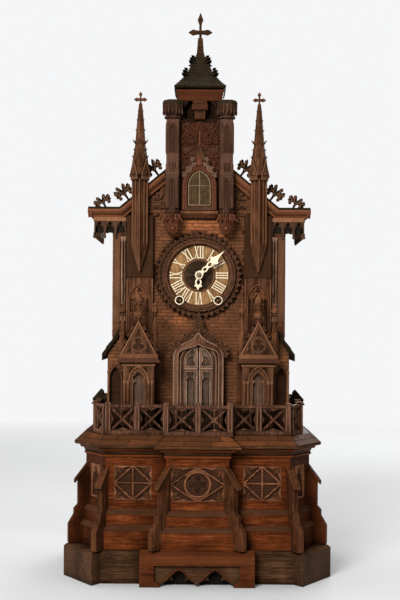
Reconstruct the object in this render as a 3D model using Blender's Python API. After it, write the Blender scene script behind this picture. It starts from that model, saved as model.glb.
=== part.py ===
"""Gothic cathedral mantel clock, built as an assembly of separate pieces.

Metres, +Z up. The front faces -Y, the clock stands on z = 0 and is centred on x = 0, y = 0.
Right-hand pieces are built once and mirrored for the left.
"""
import math

import bmesh
import bpy
from mathutils import Matrix
from mathutils import Vector
from mathutils.geometry import tessellate_polygon

for item in list(bpy.data.objects):
    bpy.data.objects.remove(item, do_unlink=True)

# Clearances
GAP = 0.0003            # between glued or resting pieces
DOOR_GAP = 0.0006       # round a hinged leaf
RUN_GAP = 0.0006        # round a turning arbor

# Setting out in depth
FACADE_Y = -0.025       # front face of the clock wall
BASE_FRONT_Y = -0.150   # front face of the porch plinth
BASE_BACK_Y = 0.150     # rear face of the base
CASE_BACK_Y = 0.118     # rear edge of the case walls
BOARD = 0.014           # thickness of case and base boards
CASE_HALF = 0.155       # half width of the case: base, terrace, wings and aisles follow it

# Base
PLINTH_H = 0.0562
PLINTH_CHAMFER = 0.004
PAD_REACH = 0.0395      # how far the plinth pads stand out from the body corners
PORCH_HALF = 0.0972
PORCH_H = 0.060
PORCH_SLOPE = 0.007     # fall of the porch plinth's top
ARCH_HALF = 0.027       # half width of one porch arch
ARCH_RISE = 0.031
BODY_FRONT_Y = -0.106
BODY_SIDE_X = CASE_HALF + 0.043
BODY_CORNER_X = BODY_SIDE_X - 0.038
CANT_DEPTH = 0.056      # how far back the canted corners run
BAY_HALF = 0.054
BAY_OUT = 0.018         # projection of the centre bay
FACE1_H = 0.0338
FACE2_H = 0.020
FACE3_H = 0.095
STEP_IN = 0.006         # set-back at each sloped step
STEP_RISE = 0.007
PANEL_SINK = 0.004      # depth of sunk panels
CORNICE_H = 0.033
CORNICE_OUT = 0.020
BUTTRESS_W = 0.011
BUTTRESS_CAP_W = 0.014
REAR_BUTTRESS_Y = 0.128

# Balustrade on the terrace
BAL_INSET = 0.008
BAL_SIDE_X = CASE_HALF + 0.025
BAL_BAY_HALF = 0.055
BAL_H = 0.052
BAL_POST = 0.0094
BAL_BAR = 0.0034
BAR_LET_IN = 0.0012     # how far the bars run into posts and rails
SIDE_BAYS = 4

# Case
EAVE_RISE = 0.401       # top of the wing roofs above the deck
EAVE_X = CASE_HALF + 0.044
RAKE_X = CASE_HALF - 0.012  # where the raking roof meets the flat wing
RAKE = 0.825            # slope of the raking roof
ROOF_T = 0.008
ROOF_OVER = 0.013       # roof overhang in front of the clock wall
EAVE_MOULD = 0.010
CREST_Y = -0.0205         # front of the leaf crest, clear behind the spires
CREST_T = 0.007
ARCADE_T = 0.005
ARCADE_DROP = 0.032
WING_BAYS = 5           # pendant arches along the front of a wing
FLANK_BAYS = 12         # and along its flank
BACK_DOOR_T = 0.014

# Tower
TOWER_RISE = 0.394
TOWER_H = 0.216
TOWER_HALF = 0.0372
TOWER_OUT = 0.008       # tower front ahead of the clock wall
TOWER_DEPTH = 0.079
TURRET_X = 0.0485
TURRET_R = 0.0116
TOWER_ROOF_H = 0.104
TOWER_CROSS_H = 0.046
WINDOW_HALF = 0.0206
WINDOW_H = 0.062

# Spires
SPIRE_X = 0.106
SPIRE_R = 0.015
SPIRE_BOARD_HALF = 0.024
SPIRE_BOARD_T = 0.008

# Pavilions
PAV_X = CASE_HALF - 0.050
PAV_HALF = 0.027
PAV_Y = -0.072
PAV_H = 0.120
GABLE_RISE = 0.055
AISLE_X = CASE_HALF + 0.006  # outer face of the aisle walls
AISLE_Y = -0.050

# Portal
PORTAL_HALF = 0.044
PORTAL_T = 0.0115
LEAF_HALF = 0.0272
LEAF_T = 0.006
LEAF_SPRING = 0.124
LEAF_ARCH = 0.028
LEAF_MEET = 0.0014      # gap between the two leaves

# Dial
DIAL_RISE = 0.2794      # dial centre above the deck
BEZEL_R = 0.0655
RIM_R = 0.078
CHAPTER_R = 0.0545
CHAPTER_T = 0.005
WIND_X = 0.0345
WIND_DROP = 0.0451
BUSH_R = 0.0084
BUSH_BORE = 0.0063
MINUTE_ANGLE = math.radians(46.0)
HOUR_ANGLE = math.radians(183.8)
HAND_T = 0.0012

# Movement
PLATE_HALF = 0.066
PLATE_T = 0.0025
PLATE_FRONT_Y = 0.010
PLATE_SPACE = 0.0598    # clear distance between the plates
PLATE_DROP = 0.0764
PLATE_UP = 0.074
ARBOR_R = 0.0020
PIPE_R = 0.0045
GEAR_CENTRES = 0.018    # centre arbor to minute wheel stud
WHEEL_T = 0.003
BARREL_R = 0.022
ESCAPE_R = 0.014
ESCAPE_RISE = 0.036
ANCHOR_RISE = 0.062
PENDULUM_L = 0.229
BOB_R = 0.022
GONG_R = 0.040
GONG_X = 0.070
BIRD_TRAVEL = 0.022

# Heights that follow from the above
STEP1_Z = PLINTH_H + FACE1_H
STEP2_Z = STEP1_Z + STEP_RISE + FACE2_H
BODY_TOP = STEP2_Z + STEP_RISE + FACE3_H
DECK = BODY_TOP + CORNICE_H
EAVE_Z = DECK + EAVE_RISE
TOWER_Z = DECK + TOWER_RISE
TOWER_TOP = TOWER_Z + TOWER_H
DIAL_Z = DECK + DIAL_RISE
WIND_Z = DIAL_Z - WIND_DROP
FRONT_FACE = FACADE_Y - GAP
PLATE_BACK_Y = PLATE_FRONT_Y + PLATE_T + PLATE_SPACE
ANCHOR_Z = DIAL_Z + ANCHOR_RISE
ESCAPE_Z = DIAL_Z + ESCAPE_RISE
TOWER_Y = FACADE_Y - TOWER_OUT
TURRET_Y = FACADE_Y - TURRET_R - 0.0029


# Views turn an outline (u, v) and a thickness position w into a point

def front(u, v, w):
    return (u, w, v)


def side(u, v, w):
    return (w, u, v)


def plan(u, v, w):
    return (u, v, w)


def along(origin, direction):
    dx, dy = direction

    def view(u, v, w):
        return (origin[0] + u * dx - w * dy, origin[1] + u * dy + w * dx, v)
    return view


# Outlines

def circle(cu, cv, radius, sides, turn=0.0):
    step = 2.0 * math.pi / sides
    return [(cu + radius * math.cos(turn + i * step), cv + radius * math.sin(turn + i * step))
            for i in range(sides)]


def oval(cu, cv, ru, rv, sides):
    return [(cu + ru * u, cv + rv * v) for u, v in circle(0.0, 0.0, 1.0, sides)]


def rectangle(u0, u1, v0, v1):
    return [(u0, v0), (u1, v0), (u1, v1), (u0, v1)]


def arch(half, spring, rise, steps=4):
    """Pointed arch from (half, spring) over the crown to (-half, spring)."""
    radius = (half * half + rise * rise) / (2.0 * half)
    reach = math.asin(min(1.0, rise / radius))
    if rise > radius:
        reach = math.pi - reach
    right = [(half - radius + radius * math.cos(reach * i / steps),
              spring + radius * math.sin(reach * i / steps)) for i in range(steps)]
    left = [(-u, v) for u, v in reversed(right)]
    return right + [(0.0, spring + rise)] + left


def lancet(centre, half, bottom, spring, rise, steps=4):
    points = [(-half, bottom), (half, bottom)] + arch(half, spring, rise, steps)
    return [(centre + u, v) for u, v in points]


def both_sides(half_outline):
    """Close an outline given from bottom to top on its right side."""
    left = [(-u, v) for u, v in reversed(half_outline) if u > 1e-9]
    return list(half_outline) + left


def curve(p0, p1, p2, p3, steps):
    points = []
    for i in range(steps + 1):
        t = i / steps
        s = 1.0 - t
        points.append(tuple(s ** 3 * a + 3 * s * s * t * b + 3 * s * t * t * c + t ** 3 * d
                            for a, b, c, d in zip(p0, p1, p2, p3)))
    return points


def offset_outline(points, distance):
    """Move a counter-clockwise outline outward with mitred corners."""
    count = len(points)
    moved = []
    for i in range(count):
        a = Vector(points[i - 1])
        b = Vector(points[i])
        c = Vector(points[(i + 1) % count])
        into = (b - a).normalized()
        out = (c - b).normalized()
        n1 = Vector((into.y, -into.x))
        n2 = Vector((out.y, -out.x))
        shift = (n1 + n2) * (distance / (1.0 + n1.dot(n2)))
        moved.append((b.x + shift.x, b.y + shift.y))
    return moved


def gear(teeth, pitch_r, height, phase):
    """Narrow pointed teeth, so a pair runs with plenty of backlash."""
    step = 2.0 * math.pi / teeth
    points = []
    for i in range(teeth):
        middle = phase + i * step
        for radius, turn in ((pitch_r - height, -0.27), (pitch_r + 0.8 * height, 0.0),
                             (pitch_r - height, 0.27)):
            angle = middle + turn * step
            points.append((radius * math.cos(angle), radius * math.sin(angle)))
    return points


def moved(points, du, dv):
    return [(u + du, v + dv) for u, v in points]


def hand_turn(points, angle):
    """Turn an upright hand clockwise as seen from the front and place it on the dial."""
    c = math.cos(angle)
    s = math.sin(angle)
    return [(u * c + v * s, DIAL_Z - u * s + v * c) for u, v in points]


# Solids

def make(name, points, faces):
    mesh = bpy.data.meshes.new(name)
    mesh.from_pydata(points, [], faces)
    bm = bmesh.new()
    bm.from_mesh(mesh)
    bmesh.ops.remove_doubles(bm, verts=bm.verts, dist=1e-7)
    bmesh.ops.recalc_face_normals(bm, faces=bm.faces)
    bm.to_mesh(mesh)
    bm.free()
    obj = bpy.data.objects.new(name, mesh)
    bpy.context.scene.collection.objects.link(obj)
    return obj


def plate(name, loops, view, near, far):
    """Extrude an outline, with further loops as holes, from near to far."""
    flat = [point for loop in loops for point in loop]
    count = len(flat)
    points = [view(u, v, near) for u, v in flat] + [view(u, v, far) for u, v in flat]
    if len(loops) == 1:
        caps = [tuple(range(count))]
    else:
        caps = tessellate_polygon([[Vector((u, v, 0.0)) for u, v in loop] for loop in loops])
    faces = [tuple(face) for face in caps]
    faces += [tuple(count + i for i in reversed(face)) for face in caps]
    start = 0
    for loop in loops:
        size = len(loop)
        for i in range(size):
            j = (i + 1) % size
            faces.append((start + i, start + j, count + start + j, count + start + i))
        start += size
    return make(name, points, faces)


def box(name, x0, x1, y0, y1, z0, z1):
    return plate(name, [rectangle(x0, x1, y0, y1)], plan, z0, z1)


def loft(name, rings):
    """Skin a stack of rings; a ring of one point closes to a tip."""
    points = []
    starts = []
    for ring in rings:
        starts.append(len(points))
        points.extend(ring)
    faces = []
    for low, high, a, b in zip(rings, rings[1:], starts, starts[1:]):
        size = max(len(low), len(high))
        for i in range(size):
            j = (i + 1) % size
            if len(low) == 1:
                faces.append((a, b + i, b + j))
            elif len(high) == 1:
                faces.append((a + i, a + j, b))
            else:
                faces.append((a + i, a + j, b + j, b + i))
    if len(rings[0]) > 1:
        faces.append(tuple(range(len(rings[0]))))
    if len(rings[-1]) > 1:
        faces.append(tuple(starts[-1] + i for i in range(len(rings[-1]))))
    return make(name, points, faces)


def turned(name, profile, sides, cu, cv, view, turn=0.0):
    """Solid of (radius, position) pairs about an axis through (cu, cv)."""
    rings = []
    for radius, w in profile:
        if radius == 0.0:
            rings.append([view(cu, cv, w)])
        else:
            rings.append([view(u, v, w) for u, v in circle(cu, cv, radius, sides, turn)])
    return loft(name, rings)


def hoop(name, profile, sides, cu, cv, view, other=None):
    """Ring solid: a closed (radius, position) outline carried round an axis.

    Every second station takes the other outline, if there is one.
    """
    size = len(profile)
    stations = (profile, other or profile)
    points = []
    for i, (u, v) in enumerate(circle(0.0, 0.0, 1.0, sides)):
        points.extend(view(cu + u * radius, cv + v * radius, w) for radius, w in stations[i % 2])
    faces = []
    for i in range(sides):
        a = i * size
        b = ((i + 1) % sides) * size
        for k in range(size):
            m = (k + 1) % size
            faces.append((a + k, a + m, b + m, b + k))
    return make(name, points, faces)


def sweep(name, profile, path, outs):
    """Carry a moulding profile (out, up) along a path with mitred corners."""
    places = [Vector(p) for p in path]
    runs = [(b - a).normalized() for a, b in zip(places, places[1:])]
    rings = []
    for i, place in enumerate(places):
        k = min(i, len(runs) - 1)
        out = Vector(outs[k])
        up = out.cross(runs[k])
        if i == 0 or i == len(places) - 1:
            cut = runs[k]
        else:
            cut = (runs[i - 1] + runs[i]).normalized()
        ring = []
        for a, b in profile:
            arm = out * a + up * b
            ring.append(tuple(place + arm - runs[k] * (arm.dot(cut) / runs[k].dot(cut))))
        rings.append(ring)
    return loft(name, rings)


def tube(name, centres, radius, sides):
    """Round bar along a path that lies in an x, z plane."""
    rings = []
    places = [Vector(p) for p in centres]
    for i, place in enumerate(places):
        ahead = places[min(i + 1, len(places) - 1)]
        behind = places[max(i - 1, 0)]
        run = (ahead - behind).normalized()
        across = Vector((run.z, 0.0, -run.x))
        rings.append([tuple(place + across * u + Vector((0.0, v, 0.0)))
                      for u, v in circle(0.0, 0.0, radius, sides)])
    return loft(name, rings)


def combine(target, tool, operation):
    step = target.modifiers.new(operation, "BOOLEAN")
    step.operation = operation
    step.solver = "EXACT"
    step.object = tool
    graph = bpy.context.evaluated_depsgraph_get()
    mesh = bpy.data.meshes.new_from_object(target.evaluated_get(graph))
    target.modifiers.clear()
    target.data = mesh
    bpy.data.objects.remove(tool, do_unlink=True)


def fuse(target, *others):
    for other in others:
        combine(target, other, "UNION")
    return target


def carve(target, *cutters):
    for cutter in cutters:
        combine(target, cutter, "DIFFERENCE")
    return target


def mirrored(source, name):
    mesh = source.data.copy()
    mesh.transform(Matrix.Scale(-1.0, 4, (1.0, 0.0, 0.0)))
    mesh.flip_normals()
    obj = bpy.data.objects.new(name, mesh)
    bpy.context.scene.collection.objects.link(obj)
    return obj


def set_origin(obj, point):
    obj.data.transform(Matrix.Translation(-Vector(point)))
    obj.location = point


FINISHES = {
    "wood": ((0.150, 0.055, 0.022), 0.45, 0.0),
    "dark_wood": ((0.060, 0.032, 0.018), 0.50, 0.0),
    "dial_wood": ((0.300, 0.150, 0.060), 0.45, 0.0),
    "bone": ((0.800, 0.680, 0.470), 0.40, 0.0),
    "painted": ((0.420, 0.380, 0.300), 0.60, 0.0),
    "brass": ((0.620, 0.440, 0.160), 0.35, 1.0),
    "steel": ((0.380, 0.380, 0.390), 0.35, 1.0),
}


def finish(obj, kind, smooth=False):
    colour, roughness, metallic = FINISHES[kind]
    mat = bpy.data.materials.new(obj.name + "_" + kind)
    mat.use_nodes = True
    shader = mat.node_tree.nodes["Principled BSDF"]
    shader.inputs["Base Color"].default_value = (*colour, 1.0)
    shader.inputs["Roughness"].default_value = roughness
    shader.inputs["Metallic"].default_value = metallic
    obj.data.materials.clear()
    obj.data.materials.append(mat)
    if smooth:
        obj.data.shade_smooth()
        obj.data.set_sharp_from_angle(angle=math.radians(35.0))
    return obj


def pair(right, stem, kind, smooth=False):
    """Name a right-hand piece and add its left-hand mirror."""
    left = mirrored(right, stem + "_left")
    right.name = stem + "_right"
    finish(right, kind, smooth)
    finish(left, kind, smooth)
    return left, right


# Base outlines

FRONT_CORNER = Vector((BODY_CORNER_X, BODY_FRONT_Y))
SIDE_CORNER = Vector((BODY_SIDE_X, BODY_FRONT_Y + CANT_DEPTH))
CANT = (SIDE_CORNER - FRONT_CORNER).normalized()
CANT_NORMAL = Vector((CANT.y, -CANT.x))
FRONT_DIAGONAL = (CANT_NORMAL + Vector((0.0, -1.0))).normalized()
SIDE_DIAGONAL = (CANT_NORMAL + Vector((1.0, 0.0))).normalized()
BAY_DIAGONAL = Vector((math.cos(math.radians(38.0)), -math.sin(math.radians(38.0))))
PLINTH_OUT = 3.0 * STEP_IN
INNER_SIDE_X = BODY_SIDE_X - BOARD


def whole(right_half):
    return right_half + [(-x, y) for x, y in reversed(right_half)]


def body_outline(distance):
    half = [
        (BAY_HALF, BODY_FRONT_Y - BAY_OUT),
        (BAY_HALF, BODY_FRONT_Y),
        tuple(FRONT_CORNER),
        tuple(SIDE_CORNER),
        (BODY_SIDE_X, BASE_BACK_Y),
    ]
    return [(x, min(y, BASE_BACK_Y)) for x, y in offset_outline(whole(half), distance)]


def cavity(name, low, high):
    half = [tuple(FRONT_CORNER), tuple(SIDE_CORNER), (BODY_SIDE_X, BASE_BACK_Y + 0.060)]
    return plate(name, [offset_outline(whole(half), -BOARD)], plan, low, high)


def stepped_body(name, clearance):
    levels = [
        (PLINTH_H + GAP, 2.0 * STEP_IN),
        (STEP1_Z, 2.0 * STEP_IN),
        (STEP1_Z + STEP_RISE, STEP_IN),
        (STEP2_Z, STEP_IN),
        (STEP2_Z + STEP_RISE, 0.0),
        (BODY_TOP, 0.0),
    ]
    rings = []
    for z, distance in levels:
        rings.append([(x, y, z) for x, y in body_outline(distance + clearance)])
    return loft(name, rings)


# Plinth

pad1 = FRONT_CORNER + FRONT_DIAGONAL * PAD_REACH
pad2 = SIDE_CORNER + SIDE_DIAGONAL * PAD_REACH
plinth_side = BODY_SIDE_X + PLINTH_OUT
plinth_front = BODY_FRONT_Y - PLINTH_OUT
plinth_half = [
    (BODY_CORNER_X + 0.005, plinth_front),
    tuple(pad1),
    tuple(pad2),
    (plinth_side, SIDE_CORNER.y + 0.012),
    (plinth_side, REAR_BUTTRESS_Y - 0.016),
    (pad2.x, REAR_BUTTRESS_Y - 0.010),
    (pad2.x, BASE_BACK_Y),
]
plinth_outline = whole(plinth_half)
plinth_top = offset_outline(plinth_outline, -PLINTH_CHAMFER)
plinth_top = [(x, y if y < 0.9 * BASE_BACK_Y else BASE_BACK_Y) for x, y in plinth_top]
plinth = loft("plinth_frame", [
    [(x, y, 0.0) for x, y in plinth_outline],
    [(x, y, PLINTH_H - PLINTH_CHAMFER) for x, y in plinth_outline],
    [(x, y, PLINTH_H) for x, y in plinth_top],
])
well_half = [tuple(FRONT_CORNER), tuple(SIDE_CORNER), (BODY_SIDE_X, BASE_BACK_Y)]
well = offset_outline(whole(well_half), -BOARD)
carve(plinth, plate("well", [well], plan, -0.01, PLINTH_H + 0.01))
finish(plinth, "wood")

# Porch plinth with two cusped arches
porch_back = plinth_front - GAP
porch_top = PORCH_H
porch_ledge = BODY_FRONT_Y - BAY_OUT - 2.0 * STEP_IN
porch_profile = [
    (BASE_FRONT_Y, 0.0),
    (porch_back, 0.0),
    (porch_back, PLINTH_H - 0.001),
    (porch_ledge - GAP, PLINTH_H - 0.001),
    (porch_ledge - GAP, porch_top),
    (BASE_FRONT_Y, porch_top - PORCH_SLOPE),
]
porch = plate("porch_plinth", [porch_profile], side, -PORCH_HALF, PORCH_HALF)
for sign in (-1.0, 1.0):
    centre = sign * (ARCH_HALF + 0.003)
    opening = lancet(centre, ARCH_HALF, -0.004, 0.010, ARCH_RISE - 0.010)
    carve(porch, plate("arch", [opening], front, BASE_FRONT_Y - 0.01, BASE_FRONT_Y + 0.014))
finish(porch, "wood")

# Body walls
shell = stepped_body("base_front_wall", 0.0)
carve(shell, cavity("room", 0.0, BODY_TOP + 0.01))
reach_out = FRONT_CORNER + FRONT_DIAGONAL * 0.120
reach_in = FRONT_CORNER - FRONT_DIAGONAL * 0.050
wall_right = shell.copy()
wall_right.data = shell.data.copy()
bpy.context.scene.collection.objects.link(wall_right)


def front_zone(name, clearance):
    half = [(reach_out.x + clearance, reach_out.y), (reach_in.x + clearance, reach_in.y)]
    return plate(name, [whole(half)], plan, 0.0, BODY_TOP + 0.02)


combine(shell, front_zone("zone", -0.5 * GAP), "INTERSECT")
carve(wall_right, front_zone("zone", 0.5 * GAP),
      box("left_half", -0.5, 0.0, -0.3, 0.3, 0.0, BODY_TOP + 0.02))

panel_low = STEP2_Z + STEP_RISE + 0.016
panel_high = BODY_TOP - 0.020
bay_face = BODY_FRONT_Y - BAY_OUT
carve(shell, plate("panel", [rectangle(-BAY_HALF + 0.008, BAY_HALF - 0.008, panel_low, panel_high)],
                   front, bay_face - 0.01, bay_face + PANEL_SINK))
for sign in (-1.0, 1.0):
    edges = sorted((sign * (BAY_HALF + 0.025), sign * (BODY_CORNER_X - 0.016)))
    carve(shell, plate("panel", [rectangle(edges[0], edges[1], panel_low, panel_high)],
                       front, BODY_FRONT_Y - 0.01, BODY_FRONT_Y + PANEL_SINK))
finish(shell, "wood")


def buttress(name, corner, direction, foot, base=PLINTH_H + GAP):
    """Stepped buttress with a sloping roof cap, standing out from a corner."""
    r1, r2, r3 = 0.015, 0.022, foot
    cap_top = BODY_TOP - 0.024
    pitch = 1.3
    z1 = cap_top - 0.004 - pitch * r1
    inner = -0.012
    profile = [
        (inner, base), (r3, base), (r3, STEP1_Z), (r2, STEP1_Z + 0.017), (r2, STEP2_Z),
        (r1, STEP2_Z + STEP_RISE), (r1, z1), (inner, z1 + pitch * (r1 - inner)),
    ]
    view = along(corner, direction)
    body = plate(name, [profile], view, -0.5 * BUTTRESS_W, 0.5 * BUTTRESS_W)
    low = cap_top - pitch * 0.021
    slab = [
        (inner + 0.001, cap_top - pitch * (inner + 0.001)), (inner + 0.001, cap_top - pitch * (inner + 0.001) - 0.006),
        (0.021, low - 0.006), (0.021, low),
    ]
    fuse(body, plate("cap", [slab], view, -0.5 * BUTTRESS_CAP_W, 0.5 * BUTTRESS_CAP_W))
    return body


fuse(wall_right, buttress("b", tuple(SIDE_CORNER), tuple(SIDE_DIAGONAL), 0.032))
fuse(wall_right, buttress("b", (BODY_SIDE_X, REAR_BUTTRESS_Y), (1.0, 0.0), 0.030))
carve(wall_right, cavity("room", 0.0, BODY_TOP + 0.01))
mid_cant = 0.5 * (FRONT_CORNER + SIDE_CORNER)
cant_view = along(tuple(mid_cant), tuple(CANT))
carve(wall_right, plate("panel", [rectangle(-0.017, 0.017, panel_low, panel_high)],
                        cant_view, -0.010, PANEL_SINK))
flank_front = SIDE_CORNER.y + 0.024
flank_back = REAR_BUTTRESS_Y - 0.018
carve(wall_right, plate("panel", [rectangle(flank_front, flank_back, panel_low, panel_high)],
                        side, BODY_SIDE_X - PANEL_SINK, BODY_SIDE_X + 0.01))
pair(wall_right, "base_wall", "wood")

back_half = INNER_SIDE_X - GAP
back_board = box("base_back_board", -back_half, back_half, BASE_BACK_Y - BOARD, BASE_BACK_Y,
                 PLINTH_H + GAP, BODY_TOP)
finish(back_board, "wood")

corner_buttress = buttress("b", tuple(FRONT_CORNER), tuple(FRONT_DIAGONAL), 0.034)
carve(corner_buttress, stepped_body("keep_out", GAP))
pair(corner_buttress, "corner_buttress", "wood")

bay_corner = (BAY_HALF, BODY_FRONT_Y - BAY_OUT)
bay_buttress = buttress("b", bay_corner, tuple(BAY_DIAGONAL), 0.033, PORCH_H + GAP)
carve(bay_buttress, stepped_body("keep_out", GAP))
pair(bay_buttress, "bay_buttress", "wood")

# Cornice and terrace deck
cornice_levels = [
    (BODY_TOP + GAP, 0.002),
    (BODY_TOP + 0.007, 0.005),
    (BODY_TOP + 0.011, 0.011),
    (BODY_TOP + 0.013, CORNICE_OUT),
    (BODY_TOP + 0.017, CORNICE_OUT),
    (DECK, 0.0),
]
cornice = loft("terrace_cornice", [
    [(x, y, z) for x, y in body_outline(distance)] for z, distance in cornice_levels
])
finish(cornice, "dark_wood")

# Balustrades
bal_base = DECK + GAP
bal_top = DECK + BAL_H
COURSE_H = 0.007
RAIL_H = 0.005
bal_front_y = BODY_FRONT_Y + BAL_INSET
bal_bay_y = bal_front_y - BAY_OUT
inset = offset_outline(whole([tuple(FRONT_CORNER), tuple(SIDE_CORNER), (BODY_SIDE_X, BASE_BACK_Y)]),
                       -BAL_INSET)
bal_corner = Vector(inset[0])
bal_side = bal_corner + CANT * ((BAL_SIDE_X - bal_corner.x) / CANT.x)


def rails(name, path, outs):
    course = [(-0.005, bal_base), (0.005, bal_base), (0.004, bal_base + COURSE_H),
              (-0.004, bal_base + COURSE_H)]
    rail = [(-0.0033, bal_top - RAIL_H), (0.0033, bal_top - RAIL_H), (0.0042, bal_top),
            (-0.0042, bal_top)]
    spots = [(x, y, 0.0) for x, y in path]
    whole_rail = sweep(name, course, spots, outs)
    return whole_rail, sweep("rail", rail, spots, outs)


def lattice(start, end, bays):
    """Two crossing bars in each bay between the posts, let into posts and rails."""
    a = Vector(start)
    b = Vector(end)
    view = along(tuple(a), tuple((b - a).normalized()))
    pitch = (b - a).length / bays
    low = bal_base + COURSE_H - BAR_LET_IN
    high = bal_top - RAIL_H + BAR_LET_IN
    bars = []
    for i in range(bays):
        u0 = i * pitch + 0.5 * BAL_POST - BAR_LET_IN
        u1 = (i + 1) * pitch - 0.5 * BAL_POST + BAR_LET_IN
        for v0, v1, thick in ((low, high, BAL_BAR), (high, low, BAL_BAR - 0.0004)):
            across = Vector((v0 - v1, u1 - u0)).normalized() * 0.5 * BAL_BAR
            bar = [(u0 - across.x, v0 - across.y), (u1 - across.x, v1 - across.y),
                   (u1 + across.x, v1 + across.y), (u0 + across.x, v0 + across.y)]
            bars.append(plate("bar", [bar], view, -0.5 * thick, 0.5 * thick))
    return bars


def post(spot, run, rise=0.004):
    half = 0.5 * BAL_POST
    return plate("post", [rectangle(-half, half, bal_base + 0.001, bal_top + rise)],
                 along(tuple(spot), tuple(run)), -half, half)


east = Vector((1.0, 0.0))
front_path = [(-bal_corner.x, bal_front_y), (-BAL_BAY_HALF, bal_front_y), (-BAL_BAY_HALF, bal_bay_y),
              (BAL_BAY_HALF, bal_bay_y), (BAL_BAY_HALF, bal_front_y), (bal_corner.x, bal_front_y)]
front_outs = [(0, -1, 0), (-1, 0, 0), (0, -1, 0), (1, 0, 0), (0, -1, 0)]
balustrade, top_rail = rails("balustrade_front", front_path, front_outs)
fuse(balustrade, *lattice((-bal_corner.x, bal_front_y), (-BAL_BAY_HALF, bal_front_y), 2))
fuse(balustrade, *lattice((-BAL_BAY_HALF, bal_bay_y), (BAL_BAY_HALF, bal_bay_y), 2))
fuse(balustrade, *lattice((BAL_BAY_HALF, bal_front_y), (bal_corner.x, bal_front_y), 2))
fuse(balustrade, top_rail)
side_run = bal_corner.x - BAL_BAY_HALF
for sign in (-1.0, 1.0):
    for x in (bal_corner.x, BAL_BAY_HALF + 0.5 * side_run, BAL_BAY_HALF):
        fuse(balustrade, post((sign * x, bal_front_y), east))
    fuse(balustrade, post((sign * BAL_BAY_HALF, bal_bay_y), east))
fuse(balustrade, post((0.0, bal_bay_y), east))
finish(balustrade, "wood")

cant_run = (bal_side - bal_corner).normalized()
cant_start = bal_corner + cant_run * (0.5 * BAL_POST + 0.004)
side_end = Vector((bal_side.x, BASE_BACK_Y - 0.008))
north = Vector((0.0, 1.0))
side_path = [tuple(cant_start), tuple(bal_side), tuple(side_end)]
side_outs = [(cant_run.y, -cant_run.x, 0.0), (1.0, 0.0, 0.0)]
side_balustrade, top_rail = rails("side_balustrade", side_path, side_outs)
fuse(side_balustrade, *lattice(tuple(cant_start + cant_run * 0.0012), tuple(bal_side), 1))
fuse(side_balustrade, *lattice(tuple(bal_side), tuple(side_end - north * 0.0012), SIDE_BAYS))
fuse(side_balustrade, top_rail)
for i in range(SIDE_BAYS + 1):
    fuse(side_balustrade, post(bal_side.lerp(side_end, i / SIDE_BAYS), north))
cap = [(0.0052, bal_top - 0.002), (0.0150, bal_top + 0.001), (0.0080, bal_top + 0.010),
       (0.0045, bal_top + 0.011), (0.0, bal_top + 0.019)]
cap_spot = bal_side.lerp(side_end, 0.5)
fuse(side_balustrade, turned("cap", cap, 4, cap_spot.x, cap_spot.y, plan, math.radians(45.0)))
pair(side_balustrade, "balustrade", "wood")


# Clock wall

def roof_z(x):
    return EAVE_Z + max(0.0, RAKE_X - x) * RAKE


SLANT = math.hypot(1.0, RAKE)
case_low = DECK + GAP
wall_top = EAVE_Z - ROOF_T - GAP
face_half = CASE_HALF - BOARD - GAP
tower_notch = TOWER_HALF + GAP
open_half = LEAF_HALF - 0.0032


def under_roof(x):
    return roof_z(x) - ROOF_T * SLANT - GAP


doorway = [(-open_half, case_low)]
doorway += [(u, v) for u, v in reversed(arch(open_half, DECK + LEAF_SPRING, LEAF_ARCH - 0.003))]
doorway += [(open_half, case_low)]
wall_outline = doorway + [
    (face_half, case_low),
    (face_half, min(wall_top, under_roof(face_half))),
    (tower_notch, under_roof(tower_notch)),
    (tower_notch, TOWER_Z - GAP),
    (-tower_notch, TOWER_Z - GAP),
    (-tower_notch, under_roof(tower_notch)),
    (-face_half, min(wall_top, under_roof(face_half))),
    (-face_half, case_low),
]
bush_hole = BUSH_R + 0.0004
wall_holes = [circle(0.0, DIAL_Z, PIPE_R + 0.003, 16)]
for sign in (-1.0, 1.0):
    wall_holes.append(circle(sign * WIND_X, WIND_Z, bush_hole, 16))
facade = plate("facade_board", [wall_outline] + wall_holes, front, FACADE_Y, FACADE_Y + BOARD)
sill_half = TURRET_X - TURRET_R - 0.0035
sill = [
    (FACADE_Y + 0.002, TOWER_Z - 0.012), (FACADE_Y - 0.008, TOWER_Z - 0.012),
    (FACADE_Y - 0.019, TOWER_Z - 0.005), (FACADE_Y - 0.019, TOWER_Z - GAP),
    (FACADE_Y + 0.002, TOWER_Z - GAP),
]
fuse(facade, plate("sill", [sill], side, -sill_half, sill_half))
finish(facade, "wood")

side_wall = box("case_wall", CASE_HALF - BOARD, CASE_HALF, FACADE_Y, CASE_BACK_Y - GAP, case_low, wall_top)
pair(side_wall, "case_wall", "wood")

# Back door, hinged at its left edge, with a turned knob
door_outline = both_sides([(CASE_HALF, case_low), (CASE_HALF, EAVE_Z), (RAKE_X, EAVE_Z),
                           (0.0, roof_z(0.0))])
back_door = plate("back_door", [door_outline], front, CASE_BACK_Y, CASE_BACK_Y + BACK_DOOR_T)
finish(back_door, "wood")
door_back = CASE_BACK_Y + BACK_DOOR_T
knob_profile = [(0.005, door_back + GAP), (0.005, door_back + 0.005), (0.009, door_back + 0.009),
                (0.009, door_back + 0.013), (0.005, door_back + 0.016)]
knob = turned("back_door_knob", knob_profile, 16, CASE_HALF - 0.025, DECK + 0.200, front)
finish(knob, "brass", smooth=True)
set_origin(back_door, (-CASE_HALF, door_back, case_low))

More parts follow.
